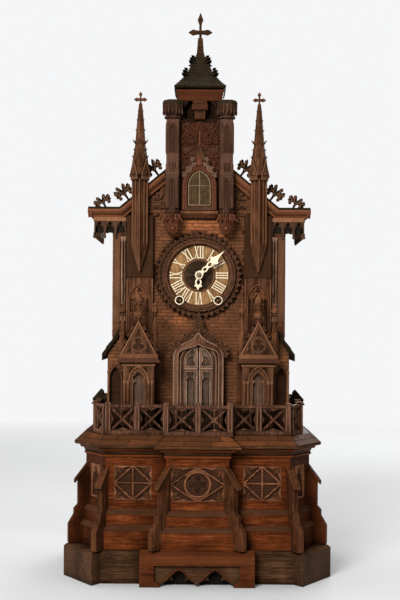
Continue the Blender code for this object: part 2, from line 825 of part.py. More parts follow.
# Roofs with raking and wing cornice
roof_back = CASE_BACK_Y - GAP
roof_front = FACADE_Y - ROOF_OVER
bottom_x = RAKE_X - ROOF_T * (SLANT - 1.0) / RAKE
slab = [
    (0.5 * GAP, roof_z(0.0)), (0.5 * GAP, roof_z(0.0) - ROOF_T * SLANT),
    (bottom_x, EAVE_Z - ROOF_T), (EAVE_X, EAVE_Z - ROOF_T), (EAVE_X, EAVE_Z), (RAKE_X, EAVE_Z),
]
roof = plate("roof", [slab], front, roof_front, roof_back)
mould = [(0.0, 0.001), (0.011, 0.001), (0.011, -0.002), (0.006, -0.005), (0.005, -EAVE_MOULD),
         (0.0, -EAVE_MOULD)]
clear_x = TURRET_X + TURRET_R + 0.0005
mould_side = EAVE_X - 0.011
start_z = roof_z(clear_x) - ROOF_T * SLANT
eave_path = [(clear_x, FRONT_FACE, start_z), (bottom_x, FRONT_FACE, EAVE_Z - ROOF_T),
             (mould_side, FRONT_FACE, EAVE_Z - ROOF_T), (mould_side, roof_back, EAVE_Z - ROOF_T)]
fuse(roof, sweep("mould", mould, eave_path, [(0, -1, 0), (0, -1, 0), (1, 0, 0)]))


def crest(x, z, wide, tall, lean):
    """Sawn leaf standing on the roof edge: a stem that forks into two lobed heads."""
    half = [(0.13, -0.28), (0.10, 0.10), (0.12, 0.30), (0.24, 0.42), (0.42, 0.40), (0.46, 0.22), (0.62, 0.16),
            (0.70, 0.34), (0.92, 0.40), (0.80, 0.58), (0.86, 0.80), (0.62, 0.78), (0.46, 0.66), (0.40, 0.98),
            (0.20, 0.88), (0.0, 0.62)]
    c = math.cos(lean)
    s = math.sin(lean)
    scaled = [(wide * u, tall * v) for u, v in both_sides(half)]
    leaf = [(x + u * c + v * s, z + v * c - u * s) for u, v in scaled]
    return plate("crest", [leaf], front, CREST_Y, CREST_Y + CREST_T)


for x, lift, wide, tall, lean in ((0.0745, 0.003, 0.0185, 0.032, 0.62), (RAKE_X - 0.015, 0.003, 0.0185, 0.032, 0.62),
                                  (EAVE_X - 0.030, 0.001, 0.0175, 0.0245, 0.50)):
    fuse(roof, crest(x, roof_z(x) + lift, wide, tall, lean))

shaft_y = FRONT_FACE - SPIRE_R - 0.0003
tower_back = TOWER_Y + TOWER_DEPTH
carve(roof, box("tower_room", -0.01, TOWER_HALF + 0.001, -0.080, tower_back + 0.001,
                TOWER_Z, TOWER_TOP + 0.1))
carve(roof, box("turret_room", 0.0, clear_x, -0.080, FACADE_Y + GAP, TOWER_Z, TOWER_TOP + 0.1))
carve(roof, turned("spire_room", [(SPIRE_R + 0.0006, DECK), (SPIRE_R + 0.0006, EAVE_Z + 0.2)], 4,
                   SPIRE_X, shaft_y, plan))
pair(roof, "roof", "dark_wood")

# Pendant arcades under the wings
arcade_top = EAVE_Z - ROOF_T - EAVE_MOULD - GAP


def pendant_outline(u0, u1, bays, top, drop):
    """Board whose lower edge is a row of pointed arches with hanging tips."""
    points = [(u1, top), (u0, top)]
    wide = (u1 - u0) / bays
    half = 0.5 * wide - 0.0016
    for i in range(bays):
        centre = u0 + (i + 0.5) * wide
        hollow = arch(half, top - drop + 0.006, drop - 0.013, 3)
        points.append((centre - half - 0.0016, top - drop))
        points.extend((centre + u, v) for u, v in reversed(hollow))
    points.append((u1, top - drop))
    return points


arcade_in = SPIRE_X + SPIRE_BOARD_HALF + 0.001
arcade_out = EAVE_X - 0.0105
arcade = plate("arcade", [pendant_outline(arcade_in, arcade_out, WING_BAYS, arcade_top, ARCADE_DROP)], front,
               FRONT_FACE - ARCADE_T, FRONT_FACE)
fuse(arcade, plate("arcade_side", [pendant_outline(FRONT_FACE - ARCADE_T, roof_back, FLANK_BAYS, arcade_top, ARCADE_DROP)],
                   side, arcade_out - ARCADE_T, arcade_out))
pair(arcade, "wing_arcade", "wood")

# Tower
tower = box("tower_body", -TOWER_HALF, TOWER_HALF, TOWER_Y, tower_back, TOWER_Z, TOWER_TOP)
fuse(tower, box("frieze", -TOWER_HALF - 0.002, TOWER_HALF + 0.002, TOWER_Y - 0.002, tower_back + 0.002,
                TOWER_TOP - 0.014, TOWER_TOP + 0.001))
floor_z = TOWER_Z + 0.010
carve(tower, box("bird_room", -TOWER_HALF + 0.008, TOWER_HALF - 0.008, TOWER_Y + 0.009, tower_back - 0.006,
                 floor_z, TOWER_Z + 0.110))
bird_hole = lancet(0.0, WINDOW_HALF - 0.004, TOWER_Z + 0.012, TOWER_Z + 0.044, 0.021)
carve(tower, plate("bird_hole", [bird_hole], front, TOWER_Y - 0.01, TOWER_Y + 0.012))
belfry = lancet(0.0, 0.027, TOWER_Z + 0.166, TOWER_Z + 0.180, 0.020)
carve(tower, plate("belfry", [belfry], front, TOWER_Y - 0.01, TOWER_Y + 0.012))
bracket = [(0.007, TOWER_Z + 0.160), (0.009, TOWER_Z + 0.172), (0.015, TOWER_Z + 0.176), (0.015, TOWER_Z + 0.193)]
fuse(tower, turned("bracket", bracket, 8, 0.0, TOWER_Y + 0.008, plan, math.radians(22.5)))
finish(tower, "wood")

turret_profile = [
    (0.0, TOWER_Z - 0.050), (0.006, TOWER_Z - 0.040), (TURRET_R, TOWER_Z - 0.016),
    (0.0140, TOWER_Z - 0.006), (0.0140, TOWER_Z + 0.001), (TURRET_R, TOWER_Z + 0.004),
    (TURRET_R, TOWER_Z + 0.066), (0.0130, TOWER_Z + 0.068), (0.0130, TOWER_Z + 0.083),
    (TURRET_R, TOWER_Z + 0.085), (TURRET_R, TOWER_Z + 0.160), (0.0135, TOWER_Z + 0.168),
    (0.0184, TOWER_Z + 0.180), (0.0184, TOWER_Z + 0.193), (0.0150, TOWER_Z + 0.193),
]
turret = turned("turret", turret_profile, 8, TURRET_X, TURRET_Y, plan, math.radians(22.5))
carve(turret, box("tower_room", -0.010, TOWER_HALF + GAP, TOWER_Y - GAP, tower_back, TOWER_Z, TOWER_TOP))
pair(turret, "tower_turret", "wood")

roof_low = TOWER_TOP + 0.001 + GAP
roof_mid_y = 0.5 * (TOWER_Y + tower_back)
roof_levels = [
    (0.0400, 0.0), (0.0456, 0.004), (0.0456, 0.0065), (0.0365, 0.0165), (0.0245, 0.030), (0.0165, 0.048),
    (0.0085, 0.068), (0.0064, 0.076), (0.0044, TOWER_ROOF_H - 0.001),
]
rings = []
for half, rise in roof_levels:
    z = roof_low + rise
    rings.append([(half, roof_mid_y - half, z), (half, roof_mid_y + half, z),
                  (-half, roof_mid_y + half, z), (-half, roof_mid_y - half, z)])
tower_roof = loft("tower_roof", rings)


def cross(x, z, arm, top, width, foot):
    """Cross with swelling arms, drawn in the x, z plane."""
    half = [
        (0.5 * width, z - foot), (0.5 * width, z - 0.7 * width), (0.35 * arm, z - 0.8 * width),
        (0.62 * arm, z - 1.15 * width), (arm, z), (0.62 * arm, z + 1.15 * width),
        (0.35 * arm, z + 0.8 * width), (0.5 * width, z + 0.7 * width), (0.5 * width, z + 0.42 * top),
        (1.15 * width, z + 0.62 * top), (0.0, z + top),
    ]
    return [(x + u, v) for u, v in both_sides(half)]


cross_z = roof_low + TOWER_ROOF_H + 0.010
fuse(tower_roof, plate("cross", [cross(0.0, cross_z, 0.022, TOWER_CROSS_H - 0.010, 0.0046, 0.016)], front,
                       roof_mid_y - 0.0025, roof_mid_y + 0.0025))
finish(tower_roof, "dark_wood")

# Spires: diagonal shaft on a backing board, eight-sided spire and cross
shaft_low = DECK + 0.332
spire_eave = DECK + 0.457
spire = turned("spire", [(0.002, shaft_low - 0.046), (SPIRE_R, shaft_low), (SPIRE_R, spire_eave + 0.004)], 4,
               SPIRE_X, shaft_y, plan)
spire_profile = [
    (0.0120, spire_eave - 0.004), (0.0190, spire_eave), (0.0155, spire_eave + 0.013),
    (0.0140, spire_eave + 0.026), (0.0092, spire_eave + 0.055), (0.0116, spire_eave + 0.058),
    (0.0088, spire_eave + 0.063), (0.0056, spire_eave + 0.103), (0.0030, spire_eave + 0.128),
]
fuse(spire, turned("cone", spire_profile, 8, SPIRE_X, shaft_y, plan))
spire_tip = spire_eave + 0.135
fuse(spire, plate("cross", [cross(SPIRE_X, spire_tip, 0.0120, 0.0145, 0.0030, 0.012)], front,
                  shaft_y - 0.0018, shaft_y + 0.0018))
board_low = DECK + 0.143
board_high = roof_z(SPIRE_X + SPIRE_BOARD_HALF) - (ROOF_T + EAVE_MOULD) * SLANT - 0.002
fuse(spire, box("board", SPIRE_X - SPIRE_BOARD_HALF, SPIRE_X + SPIRE_BOARD_HALF,
                FRONT_FACE - SPIRE_BOARD_T, FRONT_FACE, board_low, board_high))
niche = lancet(SPIRE_X, SPIRE_BOARD_HALF - 0.006, board_low + 0.070, DECK + 0.235, 0.026)
carve(spire, plate("niche", [niche], front, FRONT_FACE - SPIRE_BOARD_T - 0.002,
                   FRONT_FACE - SPIRE_BOARD_T + PANEL_SINK))
pair(spire, "spire", "wood")

# Pavilions beside the portal, each with an aisle
pav_top = DECK + PAV_H
pav = box("pavilion", PAV_X - PAV_HALF, PAV_X + PAV_HALF, PAV_Y, FRONT_FACE, case_low, pav_top + 0.001)
niche = lancet(PAV_X, PAV_HALF - 0.012, DECK + 0.014, pav_top - 0.040, 0.026)
carve(pav, plate("niche", [niche], front, PAV_Y - 0.01, PAV_Y + 0.006))
fuse(pav, box("band", PAV_X - PAV_HALF - 0.003, PAV_X + PAV_HALF + 0.003, PAV_Y - 0.003, FRONT_FACE,
              pav_top, pav_top + 0.008))
fuse(pav, box("band", PAV_X - PAV_HALF - 0.007, PAV_X + PAV_HALF + 0.007, PAV_Y - 0.007, FRONT_FACE,
              pav_top + 0.007, pav_top + 0.018))
gable_z = pav_top + 0.017
gable_half = PAV_HALF + 0.002
gable_front = PAV_Y - 0.004
gable = [(PAV_X - gable_half, gable_z), (PAV_X + gable_half, gable_z), (PAV_X, gable_z + GABLE_RISE + 0.001)]
board_front = FRONT_FACE - SPIRE_BOARD_T - GAP
fuse(pav, plate("gable", [gable], front, gable_front, board_front))
light = lancet(PAV_X, 0.012, gable_z + 0.004, gable_z + 0.014, 0.020)
carve(pav, plate("light", [light], front, gable_front - 0.01, gable_front + PANEL_SINK))
pin_base = pav_top + 0.010
pinnacle = [
    (0.0050, pin_base), (0.0050, pin_base + 0.042), (0.0062, pin_base + 0.045), (0.0048, pin_base + 0.048),
    (0.0016, pin_base + 0.078), (0.0052, pin_base + 0.082), (0.0058, pin_base + 0.088),
    (0.0026, pin_base + 0.092), (0.0042, pin_base + 0.096), (0.0, pin_base + 0.101),
]
for sign in (-1.0, 1.0):
    fuse(pav, turned("pinnacle", pinnacle, 6, PAV_X + sign * (PAV_HALF + 0.0015), PAV_Y + 0.001, plan))
apex = gable_z + GABLE_RISE
finial = [
    (0.0030, apex - 0.014), (0.0034, apex + 0.008), (0.0078, apex + 0.012), (0.0084, apex + 0.019),
    (0.0036, apex + 0.024), (0.0060, apex + 0.036), (0.0058, apex + 0.044), (0.0, apex + 0.055),
]
fuse(pav, turned("finial", finial, 6, PAV_X, gable_front + 0.005, plan))

aisle_in = PAV_X + PAV_HALF - 0.001
aisle_pitch = 1.5
aisle_low_x = AISLE_X + 0.010
aisle_low_z = DECK + 0.137


def aisle_z(x):
    return aisle_low_z + (aisle_low_x - x) * aisle_pitch


aisle_slant = math.hypot(1.0, aisle_pitch)
AISLE_ROOF_T = 0.006
under = AISLE_ROOF_T * aisle_slant + GAP * aisle_slant
aisle_top_x = aisle_in + 0.006
aisle_wall = [(aisle_in, case_low), (AISLE_X, case_low), (AISLE_X, aisle_z(AISLE_X) - under),
              (aisle_top_x, aisle_z(aisle_top_x) - under), (aisle_in, aisle_z(aisle_top_x) - under)]
aisle_mid = 0.5 * (aisle_in + AISLE_X) + 0.001
aisle_arch = lancet(aisle_mid, 0.0100, DECK + 0.012, pav_top - 0.026, 0.022)
fuse(pav, plate("aisle", [aisle_wall, aisle_arch], front, AISLE_Y, AISLE_Y + 0.008))
flank_in = CASE_HALF + GAP
flank = box("flank", flank_in, AISLE_X, AISLE_Y + 0.007, CASE_BACK_Y - GAP, case_low,
            aisle_z(AISLE_X) - under)
fuse(pav, flank)
for i in range(4):
    y = FACADE_Y + 0.014 + 0.034 * i
    light = lancet(y, 0.011, DECK + 0.030, DECK + 0.095, 0.020)
    carve(pav, plate("light", [light], side, AISLE_X - 0.003, AISLE_X + 0.01))
pair(pav, "pavilion", "wood")

lean = [(aisle_top_x, aisle_z(aisle_top_x)), (aisle_top_x, aisle_z(aisle_top_x) - AISLE_ROOF_T * aisle_slant),
        (aisle_low_x, aisle_z(aisle_low_x) - AISLE_ROOF_T * aisle_slant), (aisle_low_x, aisle_z(aisle_low_x))]
aisle_roof = plate("aisle_roof", [lean], front, AISLE_Y - 0.006, FRONT_FACE)
carve(aisle_roof, box("board_room", 0.0, SPIRE_X + SPIRE_BOARD_HALF + GAP, FRONT_FACE - SPIRE_BOARD_T - GAP,
                      FRONT_FACE + GAP, case_low, board_high + GAP))
flank_top = [(flank_in, aisle_z(flank_in)), (flank_in, aisle_z(flank_in) - AISLE_ROOF_T * aisle_slant),
             (aisle_low_x, aisle_z(aisle_low_x) - AISLE_ROOF_T * aisle_slant), (aisle_low_x, aisle_z(aisle_low_x))]
fuse(aisle_roof, plate("aisle_roof", [flank_top], front, AISLE_Y + 0.004, CASE_BACK_Y - GAP))
pair(aisle_roof, "aisle_roof", "dark_wood")

# Portal
portal_front = FRONT_FACE - PORTAL_T
spring = DECK + LEAF_SPRING
hood_spring = DECK + 0.133
cusp = DECK + 0.172
ogee = curve((PORTAL_HALF, hood_spring), (PORTAL_HALF - 0.002, hood_spring + 0.028),
             (0.012, cusp - 0.018), (0.0035, cusp), 6)
inner_half = LEAF_HALF + GAP + 0.0002
frame_inner = [(inner_half, case_low)] + arch(inner_half, spring, LEAF_ARCH + 0.0006, 5)[:6]
frame_outer = [(PORTAL_HALF, case_low)] + ogee
frame_right = [(0.0, cusp + 0.001)] + [(u, v) for u, v in reversed(frame_outer)] + frame_inner
frame_loop = frame_right + [(-u, v) for u, v in reversed(frame_right) if u > 1e-9]
portal = plate("portal_frame", [frame_loop], front, portal_front, FRONT_FACE)
hood_inner = [(PORTAL_HALF - 0.008, case_low + 0.002)]
hood_inner += curve((PORTAL_HALF - 0.008, hood_spring), (PORTAL_HALF - 0.009, hood_spring + 0.020),
                    (0.012, cusp - 0.028), (0.0, cusp - 0.016), 6)
hood_outer = [(PORTAL_HALF - 0.001, case_low + 0.002)]
hood_outer += [(u - 0.001, v) for u, v in ogee]
tip = [(0.0025, cusp + 0.014), (0.0075, cusp + 0.020), (0.0085, cusp + 0.026), (0.0030, cusp + 0.030),
       (0.0042, cusp + 0.036), (0.0, cusp + 0.042)]
hood_right = [(u, v) for u, v in reversed(hood_outer + tip)] + hood_inner
hood_loop = hood_right + [(-u, v) for u, v in reversed(hood_right) if u > 1e-9]
fuse(portal, plate("hood", [hood_loop], front, portal_front - 0.005, portal_front + 0.001))
finish(portal, "wood")

leaf_low = DECK + 0.003
leaf_right = [(0.5 * LEAF_MEET, leaf_low), (LEAF_HALF, leaf_low)]
leaf_right += [(u, v) for u, v in arch(LEAF_HALF, spring, LEAF_ARCH, 5)[:5]]
crown = spring + LEAF_ARCH - 0.0006
leaf_right += [(0.5 * LEAF_MEET, crown)]
leaf = plate("leaf", [leaf_right], front, portal_front, portal_front + LEAF_T)
light_mid = 0.52 * LEAF_HALF
transom = spring - 0.012
low_light = lancet(light_mid, 0.0085, DECK + 0.022, transom - 0.030, 0.014)
carve(leaf, plate("light", [low_light], front, portal_front - 0.01, portal_front + 0.0025))
high_light = lancet(light_mid - 0.002, 0.0070, transom + 0.004, transom + 0.012, 0.010)
carve(leaf, plate("light", [high_light], front, portal_front - 0.01, portal_front + 0.0025))
leaf_left, leaf_other = pair(leaf, "portal_leaf", "wood")
set_origin(leaf_left, (-LEAF_HALF, portal_front, leaf_low))
set_origin(leaf_other, (LEAF_HALF, portal_front, leaf_low))

# Tower window, cuckoo door and bird
win_front = TOWER_Y - GAP - 0.0097
win_low = TOWER_Z + 0.0085
win_spring = win_low + 0.036
opening = lancet(0.0, WINDOW_HALF + DOOR_GAP, win_low - DOOR_GAP, win_spring, WINDOW_H - 0.036 + DOOR_GAP, 6)
hood_half = [(0.0308, TOWER_Z + 0.001), (0.0308, win_spring), (0.0270, win_spring + 0.020),
             (0.0150, win_spring + 0.042), (0.0, win_spring + 0.070)]
window = plate("window_frame", [both_sides(hood_half), opening], front, win_front, TOWER_Y - GAP)
finish(window, "wood")
cuckoo_door = plate("cuckoo_door", [lancet(0.0, WINDOW_HALF, win_low, win_spring, WINDOW_H - 0.036, 6)], front,
                    win_front, win_front + 0.004)
finish(cuckoo_door, "painted")
set_origin(cuckoo_door, (-WINDOW_HALF, win_front, win_low))

bird_y = TOWER_Y + 0.002
bird_z = floor_z + 0.028


def bird_ring(y, z, rx, rz):
    return [(rx * c, bird_y + y, bird_z + z + rz * s) for c, s in circle(0.0, 0.0, 1.0, 8)]


bird = loft("cuckoo_bird", [
    [(0.0, bird_y, bird_z + 0.0065)],
    bird_ring(0.005, 0.0065, 0.0018, 0.0016),
    bird_ring(0.006, 0.0065, 0.0045, 0.0045),
    bird_ring(0.010, 0.0070, 0.0062, 0.0062),
    bird_ring(0.015, 0.0045, 0.0060, 0.0065),
    bird_ring(0.021, -0.0010, 0.0090, 0.0085),
    bird_ring(0.028, -0.0030, 0.0088, 0.0080),
    bird_ring(0.036, -0.0040, 0.0050, 0.0042),
    bird_ring(0.054, -0.0080, 0.0046, 0.0012),
])
fuse(bird, box("peg", -0.002, 0.002, bird_y + 0.036, bird_y + 0.040, floor_z + 0.002, bird_z - 0.004))
fuse(bird, box("sled", -0.009, 0.009, bird_y + 0.034, bird_y + 0.066, floor_z + GAP, floor_z + 0.004))
finish(bird, "painted", smooth=True)

# Dial
bezel_in = CHAPTER_R + 0.0005
bezel_profile = [
    (bezel_in, FRONT_FACE), (bezel_in, FRONT_FACE - 0.008), (bezel_in + 0.003, FRONT_FACE - 0.0125),
    (BEZEL_R - 0.0035, FRONT_FACE - 0.0125), (BEZEL_R, FRONT_FACE - 0.008), (BEZEL_R, FRONT_FACE - 0.0055),
]
leaf_tip = [(RIM_R, FRONT_FACE - 0.0045), (RIM_R, FRONT_FACE)]
leaf_gap = [(RIM_R - 0.005, FRONT_FACE - 0.0045), (RIM_R - 0.005, FRONT_FACE)]
bezel = hoop("dial_bezel", bezel_profile + leaf_tip, 40, 0.0, DIAL_Z, front, bezel_profile + leaf_gap)
disc_back = FRONT_FACE
chapter_profile = [
    (PIPE_R + 0.0018, disc_back), (PIPE_R + 0.0018, disc_back - CHAPTER_T + 0.001),
    (0.0246, disc_back - CHAPTER_T + 0.001), (0.0262, disc_back - CHAPTER_T),
    (CHAPTER_R, disc_back - CHAPTER_T), (CHAPTER_R, disc_back),
]
chapter = hoop("chapter_disc", chapter_profile, 36, 0.0, DIAL_Z, front)
for sign in (-1.0, 1.0):
    for part in (bezel, chapter):
        carve(part, turned("bush_hole", [(bush_hole, FRONT_FACE - 0.03), (bush_hole, FRONT_FACE + 0.03)], 16,
                           sign * WIND_X, WIND_Z, front, math.radians(7.0)))
finish(bezel, "wood", smooth=True)
finish(chapter, "dial_wood", smooth=True)
bush_front = FRONT_FACE - 0.0142
bush_profile = [
    (BUSH_BORE, FACADE_Y + BOARD), (BUSH_BORE, bush_front + 0.001), (BUSH_BORE + 0.0007, bush_front),
    (BUSH_R - 0.0006, bush_front), (BUSH_R, bush_front + 0.001), (BUSH_R, FACADE_Y + BOARD),
]
bush = hoop("bush", bush_profile, 16, WIND_X, WIND_Z, front)
pair(bush, "winding_bush", "bone", smooth=True)

# Hands
hour_y = bush_front - 0.0035
minute_y = hour_y - HAND_T - 0.0018
minute_half = [
    (0.0, -0.0075), (0.0045, -0.0060), (0.0075, 0.0), (0.0055, 0.0052), (0.0030, 0.0078), (0.0030, 0.0095),
    (0.0044, 0.0125), (0.0046, 0.0165), (0.0034, 0.0195), (0.0032, 0.0215), (0.0048, 0.0245), (0.0050, 0.0290),
    (0.0040, 0.0318), (0.0052, 0.0335), (0.0085, 0.0365), (0.0088, 0.0390), (0.0052, 0.0410), (0.0040, 0.0440),
    (0.0026, 0.0475), (0.0012, 0.0560), (0.0, 0.0625),
]
minute_holes = [circle(0.0, 0.0, ARBOR_R + GAP, 12), oval(0.0, 0.0147, 0.0025, 0.0037, 10),
                oval(0.0, 0.0270, 0.0028, 0.0042, 10)]
minute_loops = [hand_turn(loop, MINUTE_ANGLE) for loop in [both_sides(minute_half)] + minute_holes]
minute_hand = plate("minute_hand", minute_loops, front, minute_y, minute_y + HAND_T)
finish(minute_hand, "bone")
hour_half = [
    (0.0, -0.0074), (0.0052, -0.0052), (0.0074, 0.0), (0.0052, 0.0052), (0.0036, 0.0072), (0.0050, 0.0095),
    (0.0060, 0.0130), (0.0050, 0.0165), (0.0066, 0.0190), (0.0060, 0.0205), (0.0030, 0.0212), (0.0020, 0.0235),
    (0.0, 0.0268),
]
hour_holes = [circle(0.0, 0.0, PIPE_R + GAP, 12), oval(0.0, 0.0128, 0.0032, 0.0046, 10)]
hour_loops = [hand_turn(loop, HOUR_ANGLE) for loop in [both_sides(hour_half)] + hour_holes]
hour_hand = plate("hour_hand", hour_loops, front, hour_y, hour_y + HAND_T)
finish(hour_hand, "bone")
nut_back = minute_y - GAP
nut = turned("hand_nut", [(0.0046, nut_back), (0.0046, nut_back - 0.0015), (0.0030, nut_back - 0.0035),
                          (0.0012, nut_back - 0.0042)], 12, 0.0, DIAL_Z, front)
finish(nut, "brass", smooth=True)
dial_axis = (0.0, 0.0, DIAL_Z)
for obj in (minute_hand, hour_hand, nut):
    set_origin(obj, dial_axis)


# Movement

def rod(name, radius, y0, y1, x, z, sides=12):
    return turned(name, [(radius, y0), (radius, y1)], sides, x, z, front)


plate_low = DIAL_Z - PLATE_DROP
plate_high = DIAL_Z + PLATE_UP
plate_back_face = PLATE_FRONT_Y + PLATE_T
seat_half = CASE_HALF - BOARD - GAP
seat = box("seat_board", -seat_half, seat_half, FACADE_Y + BOARD + GAP, PLATE_BACK_Y + PLATE_T + 0.001,
           plate_low - GAP - 0.008, plate_low - GAP)
finish(seat, "wood")

thin_r = 0.0014
wind_r = 0.0028
stud_turn = math.radians(62.0)
stud_x = GEAR_CENTRES * math.cos(stud_turn)
stud_z = DIAL_Z + GEAR_CENTRES * math.sin(stud_turn)


def plate_loops():
    loops = [rectangle(-PLATE_HALF, PLATE_HALF, plate_low, plate_high)]
    loops.append(circle(0.0, DIAL_Z, ARBOR_R + RUN_GAP, 12))
    loops.append(circle(WIND_X, WIND_Z, wind_r + RUN_GAP, 12))
    loops.append(circle(-WIND_X, WIND_Z, wind_r + RUN_GAP, 12))
    loops.append(circle(0.0, ESCAPE_Z, thin_r + RUN_GAP, 12))
    loops.append(circle(0.0, ANCHOR_Z, thin_r + RUN_GAP, 12))
    return loops


front_plate = plate("front_plate", plate_loops(), front, PLATE_FRONT_Y, plate_back_face)
pillar_x = PLATE_HALF - 0.006
for x in (-pillar_x, pillar_x):
    for z in (plate_low + 0.006, plate_high - 0.006):
        fuse(front_plate, rod("pillar", 0.0035, plate_back_face - 0.001, PLATE_BACK_Y - GAP, x, z, 8))
wheel_back = PLATE_FRONT_Y - 0.003
wheel_front = wheel_back - WHEEL_T
hour_back = wheel_front - 0.0022
hour_front = hour_back - WHEEL_T
stud_r = 0.0015
fuse(front_plate, rod("stud", stud_r, hour_front - 0.002, PLATE_FRONT_Y + 0.001, stud_x, stud_z, 10))
finish(front_plate, "brass")

back_plate_face = PLATE_BACK_Y + PLATE_T
back_plate = plate("back_plate", plate_loops(), front, PLATE_BACK_Y, back_plate_face)
pend_y = back_plate_face + 0.0078
cock_low = ANCHOR_Z + 0.0055
fuse(back_plate, box("cock", -0.010, 0.010, back_plate_face - 0.001, pend_y + 0.005, cock_low, cock_low + 0.005))
hammer_x = GONG_X - 0.022
hammer_z = plate_low + 0.015
gong_y = pend_y + 0.0163
hammer_y = gong_y - 0.0045
hammer_stud = 0.002
fuse(back_plate, rod("stud", hammer_stud, back_plate_face - 0.001, hammer_y + 0.004, hammer_x, hammer_z, 10))
finish(back_plate, "brass")


def barrel(name, x):
    """Spring barrel with its great wheel and winding arbor, squared at the front."""
    drum_y = plate_back_face + 0.004
    body = rod(name, BARREL_R, drum_y, drum_y + 0.026, x, WIND_Z, 20)
    teeth = moved(gear(24, BARREL_R + 0.003, 0.0014, 0.0), x, WIND_Z)
    fuse(body, plate("wheel", [teeth], front, drum_y + 0.025, drum_y + 0.028))
    fuse(body, rod("arbor", wind_r, FACADE_Y + 0.010, back_plate_face + 0.001, x, WIND_Z))
    square = turned("square", [(0.0029, bush_front + 0.005), (0.0029, FACADE_Y + 0.012)], 4, x, WIND_Z, front,
                    math.radians(45.0))
    fuse(body, square)
    finish(body, "brass", smooth=True)
    set_origin(body, (x, 0.0, WIND_Z))
    return body


barrel("time_barrel", WIND_X)
barrel("strike_barrel", -WIND_X)

# Motion work: cannon pinion 8 to minute wheel 24, minute pinion 8 to hour wheel 32
first_r = GEAR_CENTRES / 32.0
second_r = GEAR_CENTRES / 40.0
centre_y = PLATE_FRONT_Y + 0.020
centre = rod("centre_wheel", ARBOR_R, minute_y, back_plate_face + 0.002, 0.0, DIAL_Z)
centre_teeth = moved(gear(30, 0.0230, 0.0012, 0.0), 0.0, DIAL_Z)
fuse(centre, plate("wheel", [centre_teeth], front, centre_y, centre_y + 0.002))
cannon_teeth = moved(gear(8, 8.0 * first_r, 0.0012, stud_turn), 0.0, DIAL_Z)
fuse(centre, plate("cannon", [cannon_teeth], front, wheel_front, wheel_back))
finish(centre, "brass", smooth=True)
set_origin(centre, dial_axis)

facing = stud_turn + math.pi
minute_teeth = moved(gear(24, 24.0 * first_r, 0.0012, facing + math.pi / 24.0), stud_x, stud_z)
stud_bore = stud_r + 0.0004
minute_wheel = plate("minute_wheel", [minute_teeth, circle(stud_x, stud_z, stud_bore, 12)], front,
                     wheel_front, wheel_back)
pinion_teeth = moved(gear(8, 8.0 * second_r, 0.0010, facing), stud_x, stud_z)
fuse(minute_wheel, plate("pinion", [pinion_teeth, circle(stud_x, stud_z, stud_bore, 12)], front,
                         hour_front, wheel_front + 0.0005))
finish(minute_wheel, "brass")
set_origin(minute_wheel, (stud_x, 0.0, stud_z))

hour_teeth = moved(gear(32, 32.0 * second_r, 0.0010, stud_turn + math.pi / 32.0), 0.0, DIAL_Z)
pipe_bore = ARBOR_R + RUN_GAP
hour_wheel = plate("hour_wheel", [hour_teeth, circle(0.0, DIAL_Z, pipe_bore, 12)], front, hour_front, hour_back)
pipe_profile = [(pipe_bore, hour_back - 0.001), (PIPE_R, hour_back - 0.001), (PIPE_R, hour_y), (pipe_bore, hour_y)]
fuse(hour_wheel, hoop("pipe", pipe_profile, 12, 0.0, DIAL_Z, front))
finish(hour_wheel, "brass", smooth=True)
set_origin(hour_wheel, dial_axis)

# Escapement and pendulum
scape_y = PLATE_FRONT_Y + 0.035
escape = rod("escape_wheel", thin_r, PLATE_FRONT_Y, back_plate_face, 0.0, ESCAPE_Z, 8)
scape_teeth = moved(gear(24, ESCAPE_R - 0.0016, 0.0018, 0.0), 0.0, ESCAPE_Z)
fuse(escape, plate("wheel", [scape_teeth], front, scape_y, scape_y + 0.002))
finish(escape, "brass")
set_origin(escape, (0.0, 0.0, ESCAPE_Z))

anchor = rod("anchor", thin_r, PLATE_FRONT_Y, back_plate_face + 0.005, 0.0, ANCHOR_Z, 8)
pallets = [(0.0, 0.0040), (0.0120, -0.0045), (0.0125, -0.0125), (0.0105, -0.0130), (0.0092, -0.0062), (0.0, -0.0028)]
anchor_loop = pallets + [(-u, v) for u, v in reversed(pallets) if u > 1e-9]
fuse(anchor, plate("pallets", [moved(anchor_loop, 0.0, ANCHOR_Z)], front, scape_y, scape_y + 0.002))
crutch_y = back_plate_face + 0.0022
crutch_low = ANCHOR_Z - 0.048
crutch = [(-0.0018, ANCHOR_Z + 0.0030), (-0.0018, crutch_low), (0.0046, crutch_low), (0.0046, crutch_low + 0.0034),
          (0.0018, crutch_low + 0.0034), (0.0018, ANCHOR_Z + 0.0030)]
fuse(anchor, plate("crutch", [crutch], front, crutch_y, crutch_y + 0.002))
fuse(anchor, box("pin", 0.0022, 0.0042, crutch_y + 0.0006, pend_y + 0.002, crutch_low + 0.0005, crutch_low + 0.0029))
finish(anchor, "steel")
set_origin(anchor, (0.0, 0.0, ANCHOR_Z))

bob_z = ANCHOR_Z - PENDULUM_L
pendulum = box("pendulum", -0.0014, 0.0014, pend_y - 0.0012, pend_y + 0.0012, bob_z - 0.034, cock_low - GAP)
bob_profile = [(0.008, pend_y - 0.0055), (BOB_R, pend_y - 0.001), (BOB_R, pend_y + 0.001), (0.008, pend_y + 0.0055)]
fuse(pendulum, turned("bob", bob_profile, 24, 0.0, bob_z, front))
fuse(pendulum, turned("nut", [(0.004, bob_z - 0.031), (0.004, bob_z - 0.027)], 10, 0.0, pend_y, plan))
finish(pendulum, "brass", smooth=True)
set_origin(pendulum, (0.0, pend_y, ANCHOR_Z))

